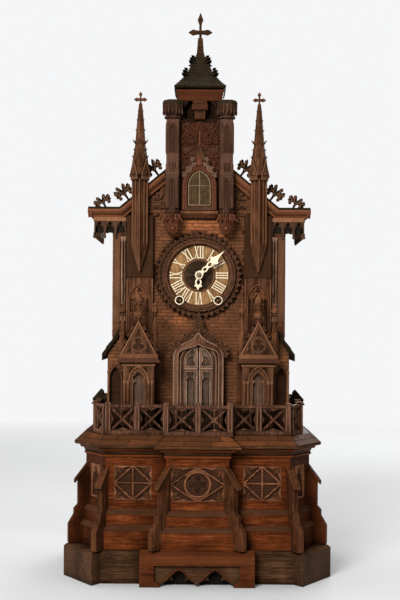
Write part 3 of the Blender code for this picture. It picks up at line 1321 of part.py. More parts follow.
# Gong on its stand, and the strike hammer
gong_z = DECK + 0.083
wire_r = 0.0015
coil = []
for i in range(43):
    turn = 2.0 * math.pi * i / 14.0 - 0.5 * math.pi
    radius = 0.007 + (GONG_R - 0.007) * i / 42.0
    coil.append((GONG_X + radius * math.cos(turn), gong_y, gong_z + radius * math.sin(turn)))
gong = tube("gong", coil, wire_r, 5)
finish(gong, "steel", smooth=True)
stand_front = gong_y + wire_r + GAP
stand = box("gong_stand", GONG_X - 0.020, GONG_X + 0.020, stand_front - 0.006, stand_front + 0.013,
            case_low, DECK + 0.012)
fuse(stand, box("upright", GONG_X - 0.005, GONG_X + 0.005, stand_front, stand_front + 0.008,
                DECK + 0.010, gong_z + 0.006))
finish(stand, "steel")

hub_r = hammer_stud + 0.0004
head = (GONG_X - 0.031, gong_z + 0.037)
hammer_profile = [(hub_r, hammer_y), (0.0055, hammer_y), (0.0055, hammer_y + 0.004), (hub_r, hammer_y + 0.004)]
hammer = hoop("strike_hammer", hammer_profile, 12, hammer_x, hammer_z, front)
reach = Vector((head[0] - hammer_x, head[1] - hammer_z))
swing = reach.normalized()
across = Vector((-swing.y, swing.x)) * 0.0015
pivot = Vector((hammer_x, hammer_z))
arm_start = pivot + swing * 0.004
arm_end = pivot + reach
arm = [tuple(arm_start - across), tuple(arm_end - across), tuple(arm_end + across), tuple(arm_start + across)]
fuse(hammer, plate("arm", [arm], front, hammer_y + 0.0005, hammer_y + 0.0035))
fuse(hammer, rod("head", 0.0050, hammer_y - 0.002, gong_y + 0.0055, head[0], head[1], 12))
finish(hammer, "steel", smooth=True)
set_origin(hammer, (hammer_x, gong_y, hammer_z))
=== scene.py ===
"""Looks of the figural clock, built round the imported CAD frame.

Metres, +Z up, the front faces -Y. Right-hand carving is made once and mirrored.
"""
import math
import random

import bmesh
import bpy
from mathutils import Matrix
from mathutils import Vector
from mathutils.geometry import tessellate_polygon


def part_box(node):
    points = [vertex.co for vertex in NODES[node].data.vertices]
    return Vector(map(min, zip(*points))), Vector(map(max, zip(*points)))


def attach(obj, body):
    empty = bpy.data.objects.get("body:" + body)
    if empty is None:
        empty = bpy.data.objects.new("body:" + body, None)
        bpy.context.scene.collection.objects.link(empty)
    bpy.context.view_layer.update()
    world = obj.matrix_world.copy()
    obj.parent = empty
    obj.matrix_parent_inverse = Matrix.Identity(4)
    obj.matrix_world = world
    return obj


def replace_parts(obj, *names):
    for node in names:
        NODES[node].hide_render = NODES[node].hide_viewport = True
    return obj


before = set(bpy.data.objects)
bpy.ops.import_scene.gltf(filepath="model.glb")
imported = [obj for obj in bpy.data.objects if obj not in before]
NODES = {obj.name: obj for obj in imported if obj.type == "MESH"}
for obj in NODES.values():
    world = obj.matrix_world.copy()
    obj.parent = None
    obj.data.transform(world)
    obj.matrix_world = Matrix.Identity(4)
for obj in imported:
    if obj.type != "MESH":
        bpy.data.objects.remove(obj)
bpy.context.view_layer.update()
RNG = random.Random(7)

X = Vector((1.0, 0.0, 0.0))
Y = Vector((0.0, 1.0, 0.0))
Z = Vector((0.0, 0.0, 1.0))
FRONT = Vector((0.0, -1.0, 0.0))
SIGNS = (-1.0, 1.0)

# Setting out, as in the part's source
WALL_Y = -0.025
DECK = 0.252
BODY_Y = -0.106
BAY_Y = -0.124
SIDE_X = 0.198
PANEL_SINK = 0.004
PANEL_MID_Z = 0.1695
PANEL_HALF_V = 0.0295
CANT_RUN = Vector((0.038, 0.056, 0.0)).normalized()
CANT_MID = Vector((0.179, -0.078, 0.0))
BAL_FRONT_Y = -0.098
BAL_BAY_Y = -0.116
BAL_BAY_HALF = 0.055
BAL_CORNER = Vector((0.1558, BAL_FRONT_Y, 0.0))
BAL_SIDE_X = 0.18
BAL_BACK_Y = 0.142
BAL_POST = 0.0094
BAL_LOW = 0.2593
BAL_HIGH = 0.299
EAVE_Z = 0.653
RAKE_X = 0.143
RAKE = 0.825
SLANT = math.hypot(1.0, RAKE)
TOWER_Y = -0.033
TOWER_MID_Y = 0.0065
TURRET = Vector((0.0485, -0.0395, 0.0))
SPIRE = Vector((0.106, -0.0406, 0.0))
SPIRE_R = 0.015
SPIRE_BOARD_Y = -0.0333
PAV_X = 0.105
PAV_Y = -0.072
AISLE_Y = -0.05
AISLE_X = 0.161
AISLE_MID_X = 0.147
FLANK_Y = [-0.011 + 0.034 * i for i in range(4)]
DIAL_Z = 0.5314
CHAPTER_Y = -0.0303
PORTAL_Y = -0.0368
HOOD_Y = -0.0418


def roof_z(x):
    return EAVE_Z + max(0.0, RAKE_X - abs(x)) * RAKE


# Materials

HOLLOW_SHADE_POWER = 1.9
WARM_SHEEN = (1.0, 0.55, 0.32, 1.0)
SHEEN = 0.055


class Finish:
    """A procedural material on one Principled shader, in the frame's own coordinates."""

    def __init__(self, name):
        self.material = bpy.data.materials.new(name)
        self.material.use_nodes = True
        self.tree = self.material.node_tree
        self.shader = self.tree.nodes["Principled BSDF"]
        self.coordinates = self.node("ShaderNodeTexCoord").outputs["Object"]

    def node(self, kind, inputs=None, **settings):
        made = self.tree.nodes.new(kind)
        for key, value in settings.items():
            setattr(made, key, value)
        for key, value in (inputs or {}).items():
            if isinstance(value, bpy.types.NodeSocket):
                self.tree.links.new(value, made.inputs[key])
            else:
                made.inputs[key].default_value = value
        return made

    def noise(self, stretch, detail, rough, shift=0.0):
        """Noise whose pitch per metre differs along each axis."""
        where = self.node("ShaderNodeMapping", {"Vector": self.coordinates, "Scale": stretch,
                                                "Location": (shift, shift, shift)})
        made = self.node("ShaderNodeTexNoise", {"Vector": where.outputs[0], "Scale": 1.0,
                                                "Detail": detail, "Roughness": rough})
        return made.outputs["Fac"]

    def ramp(self, factor, *stops):
        """Colour ramp of (position, colour) stops."""
        made = self.node("ShaderNodeValToRGB", {"Fac": factor})
        elements = made.color_ramp.elements
        while len(elements) < len(stops):
            elements.new(0.5)
        for element, (position, colour) in zip(elements, stops):
            element.position = position
            element.color = (*colour, 1.0)
        return made.outputs["Color"]

    def scale(self, value, low, high, out_low, out_high):
        made = self.node("ShaderNodeMapRange", {"Value": value, "From Min": low, "From Max": high,
                                                "To Min": out_low, "To Max": out_high})
        return made.outputs[0]

    def mix(self, kind, factor, first, second):
        made = self.node("ShaderNodeMix", data_type="RGBA", blend_type=kind)
        for index, value in ((0, factor), (6, first), (7, second)):
            if isinstance(value, bpy.types.NodeSocket):
                self.tree.links.new(value, made.inputs[index])
            else:
                made.inputs[index].default_value = value
        return made.outputs[2]

    def grey(self, value):
        made = self.node("ShaderNodeCombineColor", {"Red": value, "Green": value, "Blue": value})
        return made.outputs[0]

    def shaded(self, colour, factor):
        return self.mix("MULTIPLY", 1.0, colour, self.grey(factor))

    def axis(self, name):
        return self.node("ShaderNodeSeparateXYZ", {"Vector": self.coordinates}).outputs[name]

    def larger(self, first, second):
        return self.node("ShaderNodeMath", {0: first, 1: second}, operation="MAXIMUM").outputs[0]

    def waxed(self):
        """Low, warm sheen of old wax."""
        self.shader.inputs["Specular IOR Level"].default_value = SHEEN
        self.shader.inputs["Specular Tint"].default_value = WARM_SHEEN

    def dirt_wear_and_painted_light(self, colour, light, wear_and_highlight, dirt_and_shade, reach):
        """Dirt and painted shade darken the hollows; rubbed edges with a painted highlight are paler."""
        # Ambient occlusion darkens hollows and gaps between parts: real dirt and painted shade.
        hollow = self.node("ShaderNodeAmbientOcclusion", {"Distance": reach}, samples=6)
        depth = self.node("ShaderNodeMath", {0: hollow.outputs["AO"], 1: HOLLOW_SHADE_POWER}, operation="POWER")
        colour = self.shaded(colour, self.scale(depth.outputs[0], 0.04, 0.92, dirt_and_shade, 1.0))
        # Sharp edges turn paler: real wear and a painted highlight.
        edge = self.node("ShaderNodeNewGeometry").outputs["Pointiness"]
        rubbed_and_highlit = self.scale(edge, 0.53, 0.62, 0.0, wear_and_highlight)
        return self.mix("MIX", rubbed_and_highlit, colour, (*light, 1.0))

    def done(self, colour, rough, bump, depth):
        self.tree.links.new(colour, self.shader.inputs["Base Color"])
        self.tree.links.new(rough, self.shader.inputs["Roughness"])
        relief = self.node("ShaderNodeBump", {"Height": bump, "Strength": 0.6, "Distance": depth})
        self.tree.links.new(relief.outputs[0], self.shader.inputs["Normal"])
        return self.material


GRAIN = {"x": (18.0, 430.0, 430.0), "y": (430.0, 18.0, 430.0), "z": (430.0, 430.0, 18.0)}
TONES = ((0.0, (0.3, 0.34, 0.34)), (0.45, (1.0, 1.0, 0.98)), (1.0, (3.7, 2.95, 2.15)))
FOOT_SHADE = (DECK + 0.036, DECK + 0.056)
CROWN_BLEND = 0.004


def wood(name, dark, middle, light, axis="x", gloss=0.46, wear_and_highlight=0.45, dirt_and_shade=0.12, reach=0.014, tone=False,
         foot=False, blotch=(0.42, 1.6), crown=None):
    """Stained, waxed wood: fibres along one axis, patchy stain, pores, scratches, dirt and painted shade in
    the hollows, rubbed edges with a painted highlight.

    With tone each brick or slab has its own shade, with foot the lowest part above the deck is
    darkened as painted shade, and crown is a height and the tint that the wood has above it.
    """
    made = Finish(name)
    stretch = GRAIN[axis]
    fibres = made.noise(stretch, 6.0, 0.72)
    colour = made.ramp(fibres, (0.34, dark), (0.52, middle), (0.7, light))
    if tone:
        shade = made.node("ShaderNodeAttribute", attribute_name="tone").outputs["Fac"]
        colour = made.mix("MULTIPLY", 1.0, colour, made.ramp(shade, *TONES))
    patches = made.noise((24.0, 24.0, 24.0), 6.0, 0.7, 3.1)
    colour = made.shaded(colour, made.scale(patches, 0.32, 0.7, *blotch))
    scuffs = made.noise(tuple(40.0 + 0.6 * s for s in stretch), 9.0, 0.76, 5.3)
    colour = made.mix("MIX", made.scale(scuffs, 0.6, 0.74, 0.0, 0.55), colour, (*light, 1.0))
    pores = made.noise(tuple(4.0 * s for s in stretch), 3.0, 0.5, 8.7)
    colour = made.shaded(colour, made.scale(pores, 0.4, 0.54, 0.62, 1.04))
    colour = made.dirt_wear_and_painted_light(colour, light, wear_and_highlight, dirt_and_shade, reach)
    if crown:
        height, tint = crown
        bare = made.mix("MULTIPLY", 1.0, colour, (*tint, 1.0))
        above = made.scale(made.axis("Z"), height - CROWN_BLEND, height + CROWN_BLEND, 0.0, 1.0)
        colour = made.mix("MIX", above, colour, bare)
    # Painted shade: the wood just above the deck is darkened where the balustrade shades it.
    if foot:
        colour = made.shaded(colour, made.scale(made.axis("Z"), *FOOT_SHADE, 0.1, 1.0))
    made.waxed()
    rough = made.scale(fibres, 0.3, 0.75, gloss + 0.16, gloss - 0.06)
    return made.done(colour, rough, pores, 0.00035)


def carved_zone(name, shade_of):
    """Carved brown wood, darkened by painted shade: the grey factor that shade_of makes from the material."""
    made = Finish(name)
    fibres = made.noise((300.0, 300.0, 60.0), 6.0, 0.7)
    colour = made.ramp(fibres, (0.3, (0.022, 0.009, 0.0046)), (0.52, (0.064, 0.0265, 0.0138)),
                       (0.76, (0.15, 0.069, 0.038)))
    colour = made.shaded(colour, shade_of(made))
    colour = made.dirt_wear_and_painted_light(colour, (0.19, 0.093, 0.054), 0.35, 0.12, 0.008)
    made.waxed()
    return made.done(colour, made.scale(fibres, 0.3, 0.75, 0.62, 0.42), fibres, 0.0003)


def beyond_ring(made):
    """Painted shade on the ground between the rim leaves, outside the ring of the bezel."""
    spot = made.node("ShaderNodeMapping", {"Vector": made.coordinates, "Location": (0.0, 0.0, -DIAL_Z),
                                           "Scale": (1.0, 0.0, 1.0)})
    radius = made.node("ShaderNodeVectorMath", {0: spot.outputs[0]}, operation="LENGTH").outputs["Value"]
    return made.scale(radius, 0.0655, 0.067, 1.0, 0.12)


def in_belfry(made):
    """Painted shade on the front of the belfry, under the tower cornice."""
    low = made.scale(made.axis("Z"), 0.799, 0.806, 1.0, 0.16)
    high = made.scale(made.axis("Z"), 0.844, 0.846, 0.0, 0.42)
    behind = made.scale(made.axis("Y"), TOWER_Y + 0.012, TOWER_Y + 0.018, 0.0, 1.0)
    return made.larger(made.larger(low, high), behind)


def plain(name, dark, light, pitch, gloss, metal=0.0, dirt_and_shade=0.4, wear_and_highlight=0.0, reach=0.006):
    """Bone, metal and paint: fine mottling, dirt and painted shade in the hollows, rubbed edges with a
    painted highlight.
    """
    made = Finish(name)
    mottle = made.noise((pitch, pitch, pitch), 6.0, 0.6)
    colour = made.ramp(mottle, (0.3, dark), (0.68, light))
    colour = made.dirt_wear_and_painted_light(colour, light, wear_and_highlight, dirt_and_shade, reach)
    made.shader.inputs["Metallic"].default_value = metal
    made.shader.inputs["Specular IOR Level"].default_value = 0.5 if metal else SHEEN
    rough = made.scale(mottle, 0.3, 0.7, gloss + 0.1, gloss - 0.05)
    return made.done(colour, rough, made.noise((5 * pitch, 5 * pitch, 5 * pitch), 3.0, 0.5), 0.0001)


# The base oaks darken their hollows over a longer reach: painted shade between buttresses and walls.
BASE_WOOD = wood("base_oak", (0.0288, 0.0062, 0.0018), (0.099, 0.022, 0.0057), (0.2025, 0.0544, 0.0152),
                 reach=0.03)
# Painted shade: a darker copy of the base oak for the side walls and canted corners.
BASE_SIDE_SHADED = wood("base_oak_sides_shaded", (0.0149, 0.0036, 0.0012), (0.0495, 0.012, 0.0035),
                 (0.1015, 0.0298, 0.0095), "y", reach=0.03)
PLINTH = wood("plinth_oak", (0.0164, 0.0076, 0.0037), (0.0476, 0.0213, 0.0099), (0.1066, 0.0517, 0.0258))
CROWN = wood("crown_oak", (0.018, 0.0085, 0.004), (0.056, 0.0245, 0.011), (0.165, 0.066, 0.027))
# Dark brown oak, darkened further as painted shade on the buttresses.
BUTTRESS = wood("buttress_oak", (0.018, 0.0065, 0.0027), (0.0558, 0.0193, 0.0079), (0.1353, 0.0516, 0.0225),
                "z", wear_and_highlight=0.7, reach=0.03)
PORCH_WOOD = wood("porch_oak", (0.0172, 0.0043, 0.0015), (0.0581, 0.0145, 0.0049), (0.1254, 0.0365, 0.013))
BAL_WOOD = wood("balustrade_oak", (0.026, 0.0109, 0.006), (0.0779, 0.0333, 0.0182),
                (0.2006, 0.0998, 0.0614), "z", wear_and_highlight=0.65)
TOWER_WOOD = wood("tower_oak", (0.015, 0.0064, 0.0037), (0.045, 0.0198, 0.0119), (0.095, 0.0469, 0.0299),
                  "z")
SPIRE_WOOD = wood("spire_oak", (0.0209, 0.0078, 0.0038), (0.0646, 0.0248, 0.0117), (0.1615, 0.0736, 0.0387),
                  "z")
# Painted shade: dark grounds in sunk panels, behind tracery and in hollows.
GROUND = wood("shadowed_ground", (0.007, 0.003, 0.0016), (0.02, 0.0084, 0.0044), (0.052, 0.022, 0.012),
              gloss=0.6)
SPIRE_PLANK = wood("spire_plank", (0.0072, 0.0031, 0.0015), (0.0212, 0.0087, 0.004),
                   (0.051, 0.0222, 0.0104), "z", gloss=0.5)
PLANK = wood("dark_plank", (0.01, 0.0042, 0.0026), (0.031, 0.012, 0.007), (0.074, 0.03, 0.0175), "z",
             gloss=0.5)
WING_WOOD = wood("wing_arcade_oak", (0.012, 0.0058, 0.0032), (0.038, 0.018, 0.0098), (0.098, 0.052, 0.03),
                 "z", wear_and_highlight=0.65)
# Paler, redder oak for the tracery bars, lighter still as a painted highlight on the raised bars.
TRACERY = wood("base_tracery_oak", (0.042, 0.015, 0.0066), (0.13, 0.048, 0.022), (0.27, 0.115, 0.058),
               wear_and_highlight=0.7)
BRACKET = wood("belfry_bracket_oak", (0.0078, 0.0027, 0.0012), (0.025, 0.0085, 0.0038),
               (0.064, 0.023, 0.0105), "z", wear_and_highlight=0.6)
CORNICE = wood("tower_cornice_oak", (0.0104, 0.0029, 0.0011), (0.0333, 0.0087, 0.0033),
               (0.0806, 0.0241, 0.0099), wear_and_highlight=0.6)
FOLIAGE = wood("foliage_oak", (0.0172, 0.0049, 0.0023), (0.0554, 0.0168, 0.0078), (0.1386, 0.0504, 0.0259),
               "z", wear_and_highlight=0.7, dirt_and_shade=0.06, reach=0.006)
SLAB = wood("terrace_slabs", (0.0104, 0.0041, 0.0017), (0.0343, 0.012, 0.0046), (0.0911, 0.0324, 0.012),
            wear_and_highlight=0.5, tone=True, blotch=(0.35, 1.6))
WEATHERING = wood("dirty_weathering", (0.01, 0.0042, 0.002), (0.03, 0.0115, 0.005), (0.085, 0.033, 0.015),
                  gloss=0.5)
UPRIGHT = wood("case_oak", (0.0334, 0.0123, 0.0055), (0.0986, 0.037, 0.0163), (0.1892, 0.081, 0.0387), "z",
               foot=True)
WALL_SIDE = wood("case_sides", (0.032, 0.012, 0.0055), (0.092, 0.035, 0.0155), (0.185, 0.078, 0.037), "y")
CARVING = wood("carved_oak", (0.0206, 0.0086, 0.0042), (0.0654, 0.0271, 0.0132), (0.1505, 0.0697, 0.0368),
               "z", wear_and_highlight=0.65, dirt_and_shade=0.1, reach=0.008)
MOULDING = wood("light_moulding", (0.0456, 0.017, 0.0073), (0.1254, 0.0503, 0.0226),
                (0.228, 0.1036, 0.0511), "z", wear_and_highlight=0.6, dirt_and_shade=0.15, reach=0.008, foot=True)
EAVE_WOOD = wood("eave_oak", (0.0245, 0.0071, 0.0028), (0.0756, 0.0238, 0.0096), (0.1656, 0.0612, 0.0277),
                 wear_and_highlight=0.6, reach=0.01)
SLATE_SHADES = ((0.0036, 0.0027, 0.0013), (0.0102, 0.0073, 0.0034), (0.0288, 0.0205, 0.0105))
SLATE = wood("weathered_roof", *SLATE_SHADES, gloss=0.5, wear_and_highlight=0.5)
TOWER_SLATE = wood("tower_roof_oak", *SLATE_SHADES, gloss=0.5, wear_and_highlight=0.5, crown=(0.934, (3.0, 1.85, 1.75)))
PANEL_WOOD = wood("pavilion_panels", (0.026, 0.014, 0.0088), (0.075, 0.042, 0.0275), (0.15, 0.088, 0.06),
                  "z", foot=True)
LEAF_GROUND = wood("portal_panels", (0.034, 0.0205, 0.013), (0.098, 0.06, 0.04), (0.19, 0.125, 0.088), "z",
                   foot=True)
LEAF_EDGE = wood("portal_edges", (0.11, 0.06, 0.038), (0.25, 0.148, 0.098), (0.4, 0.26, 0.185), "z",
                 foot=True)
LEAF_WOOD = wood("portal_oak", (0.05, 0.025, 0.0145), (0.15, 0.077, 0.046), (0.29, 0.166, 0.108), "z",
                 wear_and_highlight=0.6, foot=True)
DARK_UPRIGHT = wood("dark_upright", (0.01, 0.0062, 0.0036), (0.028, 0.0165, 0.0092), (0.065, 0.039, 0.023),
                    "z", gloss=0.5)
BRICK = wood("brick_cut_oak", (0.0266, 0.0092, 0.0041), (0.0725, 0.0274, 0.0122), (0.1443, 0.0592, 0.0274),
             wear_and_highlight=0.5, dirt_and_shade=0.45, reach=0.008, tone=True, foot=True, blotch=(0.32, 1.85))
DIAL_WOOD = wood("dial_wood", (0.1316, 0.0617, 0.0215), (0.2399, 0.1283, 0.0513), (0.3328, 0.198, 0.0895),
                 "z", gloss=0.46, wear_and_highlight=0.1, dirt_and_shade=0.35, reach=0.006)
BONE = plain("bone", (0.5892, 0.4617, 0.2903), (0.802, 0.6966, 0.508), 420.0, 0.4, dirt_and_shade=0.55, reach=0.002)
OLD_BONE = plain("numeral_bone", (0.53, 0.398, 0.24), (0.74, 0.615, 0.425), 420.0, 0.4, dirt_and_shade=0.5,
                 reach=0.002)
NUT = plain("old_nut", (0.085, 0.058, 0.038), (0.215, 0.16, 0.11), 420.0, 0.42, dirt_and_shade=0.35, wear_and_highlight=0.3)
PAINT = plain("painted_lattice", (0.0255, 0.0125, 0.005), (0.0748, 0.0422, 0.0175), 120.0, 0.6, dirt_and_shade=0.25,
              wear_and_highlight=0.4)
CREAM = plain("cream_paint", (0.0935, 0.0608, 0.028), (0.2465, 0.1716, 0.0896), 300.0, 0.55, dirt_and_shade=0.25,
              wear_and_highlight=0.3)
RED_PAINT = plain("red_stain", (0.0496, 0.0156, 0.008), (0.12, 0.039, 0.0192), 260.0, 0.5, dirt_and_shade=0.25,
                  wear_and_highlight=0.35)
# Painted shade: near-black for boards in holes and behind openings, where only shade is seen.
SHADE_BLACK = plain("painted_shade_recess", (0.0022, 0.0016, 0.0012), (0.0075, 0.005, 0.0036), 260.0, 0.75, dirt_and_shade=0.3)
WING_SHADE = plain("wing_shade", (0.005, 0.0034, 0.0022), (0.015, 0.0096, 0.0062), 260.0, 0.75, dirt_and_shade=0.3)
BRASS = plain("aged_brass", (0.33, 0.205, 0.062), (0.6, 0.42, 0.155), 180.0, 0.34, metal=1.0, dirt_and_shade=0.45,
              wear_and_highlight=0.4)
STEEL = plain("blued_steel", (0.16, 0.165, 0.175), (0.36, 0.365, 0.375), 220.0, 0.33, metal=1.0, wear_and_highlight=0.4)


# Outlines

def rectangle(half_u, half_v, cu=0.0, cv=0.0):
    return [(cu - half_u, cv - half_v), (cu + half_u, cv - half_v),
            (cu + half_u, cv + half_v), (cu - half_u, cv + half_v)]


def ring(radius, sides, turn=0.0):
    angles = [turn + i * (2.0 * math.pi / sides) for i in range(sides)]
    return [(radius * math.cos(angle), radius * math.sin(angle)) for angle in angles]


def foil(radius, lobes, cv=0.0, turn=0.0, steps=8):
    """Rosette hole with round lobes and sharp cusps."""
    far = 0.56 * radius
    small = 0.44 * radius
    span = 2.0 * math.pi / lobes
    points = []
    for i in range(lobes):
        for k in range(steps):
            angle = -0.5 * span + span * k / steps
            reach = far * math.cos(angle) + math.sqrt(max(0.0, small ** 2 - (far * math.sin(angle)) ** 2))
            direction = turn + i * span + angle
            points.append((reach * math.cos(direction), cv + reach * math.sin(direction)))
    return points


def flipped(points, sign):
    return [(sign * u, v) for u, v in points]


def whole(right):
    """Right-hand line from foot to crown and its left-hand reflection; a crown at zero stays single."""
    left = right if right[-1][0] else right[:-1]
    return right + [(-u, v) for u, v in reversed(left)]


def arch(half, spring, rise, steps):
    """Pointed arch from (half, spring) over the crown to (-half, spring)."""
    radius = (half * half + rise * rise) / (2.0 * half)
    reach = math.asin(min(1.0, rise / radius))
    if rise > radius:
        reach = math.pi - reach
    right = [(half - radius + radius * math.cos(reach * i / steps),
              spring + radius * math.sin(reach * i / steps)) for i in range(steps)]
    return whole(right + [(0.0, spring + rise)])


def archway(half, foot, spring, rise, steps=8):
    """Pointed arch on two straight legs."""
    return [(half, foot)] + arch(half, spring, rise, steps) + [(-half, foot)]


def lancet(centre, half, bottom, spring, rise, cusp=0.0, steps=8):
    """Pointed opening; a cusp pushed in from each side of the arch makes it a trefoil head."""
    points = []
    crown = arch(half, spring, rise, steps)
    for i, (u, v) in enumerate(crown):
        part = i / steps if i <= steps else 2.0 - i / steps
        push = cusp * (1.0 - abs(2.0 * part - 1.0)) ** 2
        points.append((u - math.copysign(push, u) if abs(u) > 1e-9 else u, v - 0.35 * push))
    return [(centre + u, v) for u, v in [(-half, bottom), (half, bottom)] + points]


def wound(points, forward):
    area = sum(a[0] * b[1] - b[0] * a[1] for a, b in zip(points, points[1:] + points[:1]))
    return list(points) if (area > 0.0) == forward else list(reversed(points))


def shifted(points, distance):
    """Move a closed outline to its right-hand side with limited mitres."""
    count = len(points)
    moved = []
    for i in range(count):
        a = Vector(points[i - 1])
        b = Vector(points[i])
        c = Vector(points[(i + 1) % count])
        into = (b - a).normalized()
        away = (c - b).normalized()
        n1 = Vector((into.y, -into.x))
        n2 = Vector((away.y, -away.x))
        step = (n1 + n2) * (distance / max(0.4, 1.0 + n1.dot(n2)))
        moved.append((b.x + step.x, b.y + step.y))
    return moved


def inset(points, distance):
    return shifted(wound(points, True), -distance)


def shrunk(a, b, c, distance):
    """Triangle moved in by the same distance on each side."""
    corners = [Vector(a), Vector(b), Vector(c)]
    lengths = [(corners[i - 2] - corners[i - 1]).length for i in range(3)]
    around = sum(lengths)
    middle = sum((corner * side for corner, side in zip(corners, lengths)), Vector((0.0, 0.0))) / around
    first = corners[1] - corners[0]
    second = corners[2] - corners[0]
    keep = 1.0 - distance * around / abs(first.x * second.y - first.y * second.x)
    return [tuple(middle + (corner - middle) * keep) for corner in corners]


def cusped(points, depth, edges, steps):
    """Push a sharp cusp into a hole from the middle of the edges that are named."""
    points = wound(points, True)
    result = []
    for i, first in enumerate(points):
        a = Vector(first)
        b = Vector(points[(i + 1) % len(points)])
        inward = Vector((a.y - b.y, b.x - a.x)).normalized()
        count = 2 * steps if i in edges else 1
        for k in range(count):
            t = k / count
            push = depth * (1.0 - abs(2.0 * t - 1.0)) ** 2 if count > 1 else 0.0
            result.append(tuple(a.lerp(b, t) + inward * push))
    return result


# Solids, added to a bmesh

def place(origin, run, up=Z):
    """Matrix from (along, up, out) to the frame."""
    run = Vector(run).normalized()
    up = Vector(up).normalized()
    made = Matrix((run, up, run.cross(up))).transposed().to_4x4()
    made.translation = Vector(origin)
    return made


def facing(y, x=0.0, z=0.0):
    """Place on a plane that faces the front."""
    return place((x, y, z), X)


def level(angle):
    """Level direction, anticlockwise from +X as seen from above."""
    return Vector((math.cos(angle), math.sin(angle), 0.0))


def leaning(angle):
    """Direction in the front plane that leans from upright towards +X."""
    return Vector((math.sin(angle), 0.0, math.cos(angle)))


def on(where, points, out=0.0):
    """Points of an outline at a place, all as far out from its face."""
    return [where @ Vector((u, v, out)) for u, v in points]


def at_depth(points, y):
    """Points of an outline on the plane at y that faces the front or the back."""
    return [(u, y, v) for u, v in points]


def plate(bm, loops, where, thick, chamfer, base=0.0):
    """Board with an outline, holes and chamfered front edges."""
    loops = [wound(loops[0], True)] + [wound(loop, False) for loop in loops[1:]]
    stages = []
    for out, move in ((base, 0.0), (base + thick - chamfer, 0.0), (base + thick, -chamfer)):
        flat = [shifted(loop, move) for loop in loops]
        stages.append((flat, [[bm.verts.new(spot) for spot in on(where, loop, out)] for loop in flat]))
    for (_, low), (_, high) in zip(stages, stages[1:]):
        for a, b in zip(low, high):
            for i in range(len(a)):
                j = (i + 1) % len(a)
                bm.faces.new((a[i], a[j], b[j], b[i]))
    for flat, corners in (stages[0], stages[-1]):
        verts = [vert for loop in corners for vert in loop]
        for face in tessellate_polygon([[Vector((u, v, 0.0)) for u, v in loop] for loop in flat]):
            bm.faces.new([verts[i] for i in face])


def skin(bm, rings, closed=False):
    """Join rings of points and return their vertices; a ring of one point closes to a tip."""
    made = [[bm.verts.new(point) for point in points] for points in rings]
    pairs = list(zip(made, made[1:]))
    if closed:
        pairs.append((made[-1], made[0]))
    for low, high in pairs:
        size = max(len(low), len(high))
        for i in range(size):
            j = (i + 1) % size
            if len(low) == 1:
                bm.faces.new((low[0], high[j], high[i]))
            elif len(high) == 1:
                bm.faces.new((low[i], low[j], high[0]))
            else:
                bm.faces.new((low[i], low[j], high[j], high[i]))
    if not closed:
        for end in (made[0], made[-1]):
            if len(end) > 2:
                bm.faces.new(end)
    return made


def turned(bm, profile, where, sides):
    """Turn (radius, height) pairs about the local out axis; a radius of zero is a tip."""
    skin(bm, [on(where, ring(radius, sides) if radius else [(0.0, 0.0)], height)
              for radius, height in profile])


def upright(x, y):
    """Place for a turned piece that stands on the vertical line through (x, y)."""
    return Matrix.Translation((x, y, 0.0))


def sweep(bm, section, path, out, closed=False):
    """Run a section of (side, out) points along a path that lies square to out."""
    spots = [Vector(p) for p in path]
    out = Vector(out).normalized()
    count = len(spots)
    ends = range(count if closed else count - 1)
    runs = [(spots[(i + 1) % count] - spots[i]).normalized() for i in ends]
    rings = []
    for i, spot in enumerate(spots):
        ahead = runs[i] if closed or i < count - 1 else runs[-1]
        behind = runs[i - 1] if closed or i > 0 else runs[0]
        across = ahead.cross(out) + behind.cross(out)
        across = across.normalized() / max(0.5, math.sqrt(0.5 + 0.5 * ahead.dot(behind)))
        rings.append([spot + across * a + out * b for a, b in section])
    skin(bm, rings, closed)


def bead(bm, path, out, radius, sides=8, closed=False):
    """Round moulding along a path."""
    sweep(bm, ring(radius, sides), path, out, closed)


def trim(bm, where, points, radius, sides=8, out=0.0, closed=False):
    """Round moulding along an outline at a place."""
    bead(bm, on(where, points, out), where.to_3x3() @ Z, radius, sides, closed)


LEAF_SECTION = ((-1.0, 0.22), (-0.55, 0.85), (0.0, 0.62), (0.55, 0.85), (1.0, 0.22), (0.0, 0.0))


def leaf(bm, origin, along, out, length, width, rise, curl, lobes, stations):
    """Carved leaf that grows along one direction: lobed edge, raised midrib, tip curling outward."""
    along = Vector(along).normalized()
    out = Vector(out)
    out = (out - along * out.dot(along)).normalized()
    where = place(origin, along, out.cross(along))
    curled = abs(curl) > 1e-6
    rows = []
    for i in range(stations + 1):
        t = i / stations
        turn = curl * t
        swell = math.sin(math.pi * (0.16 + 0.84 * t)) ** 0.75 if t < 1.0 else 0.0
        half = 0.5 * width * swell * (0.66 + 0.34 * abs(math.cos(math.pi * lobes * t)))
        reach = length * (math.sin(turn) / curl if curled else t)
        lift = length * ((1.0 - math.cos(turn)) / curl if curled else 0.0)
        normal = Vector((-math.sin(turn), 0.0, math.cos(turn)))
        centre = Vector((reach, 0.0, lift))
        high = rise * (1.0 - 0.55 * t)
        if half == 0.0:
            rows.append([where @ (centre + normal * 0.3 * high)])
        else:
            rows.append([where @ (centre + Vector((0.0, half * a, 0.0)) + normal * (high * b))
                         for a, b in LEAF_SECTION])
    skin(bm, rows)


def crocket(bm, origin, up, out, size, spread=0.9):
    """Three-lobed leaf curling away from a gable or spire edge."""
    up = Vector(up).normalized()
    out = Vector(out).normalized()
    across = up.cross(out)
    for turn, share in ((0.0, 1.0), (spread, 0.72), (-spread, 0.72)):
        along = (up * math.cos(turn) + across * math.sin(turn)).normalized()
        leaf(bm, origin, along, out, size * share, size * 0.62 * share, size * 0.26, 1.5, 2, 7)


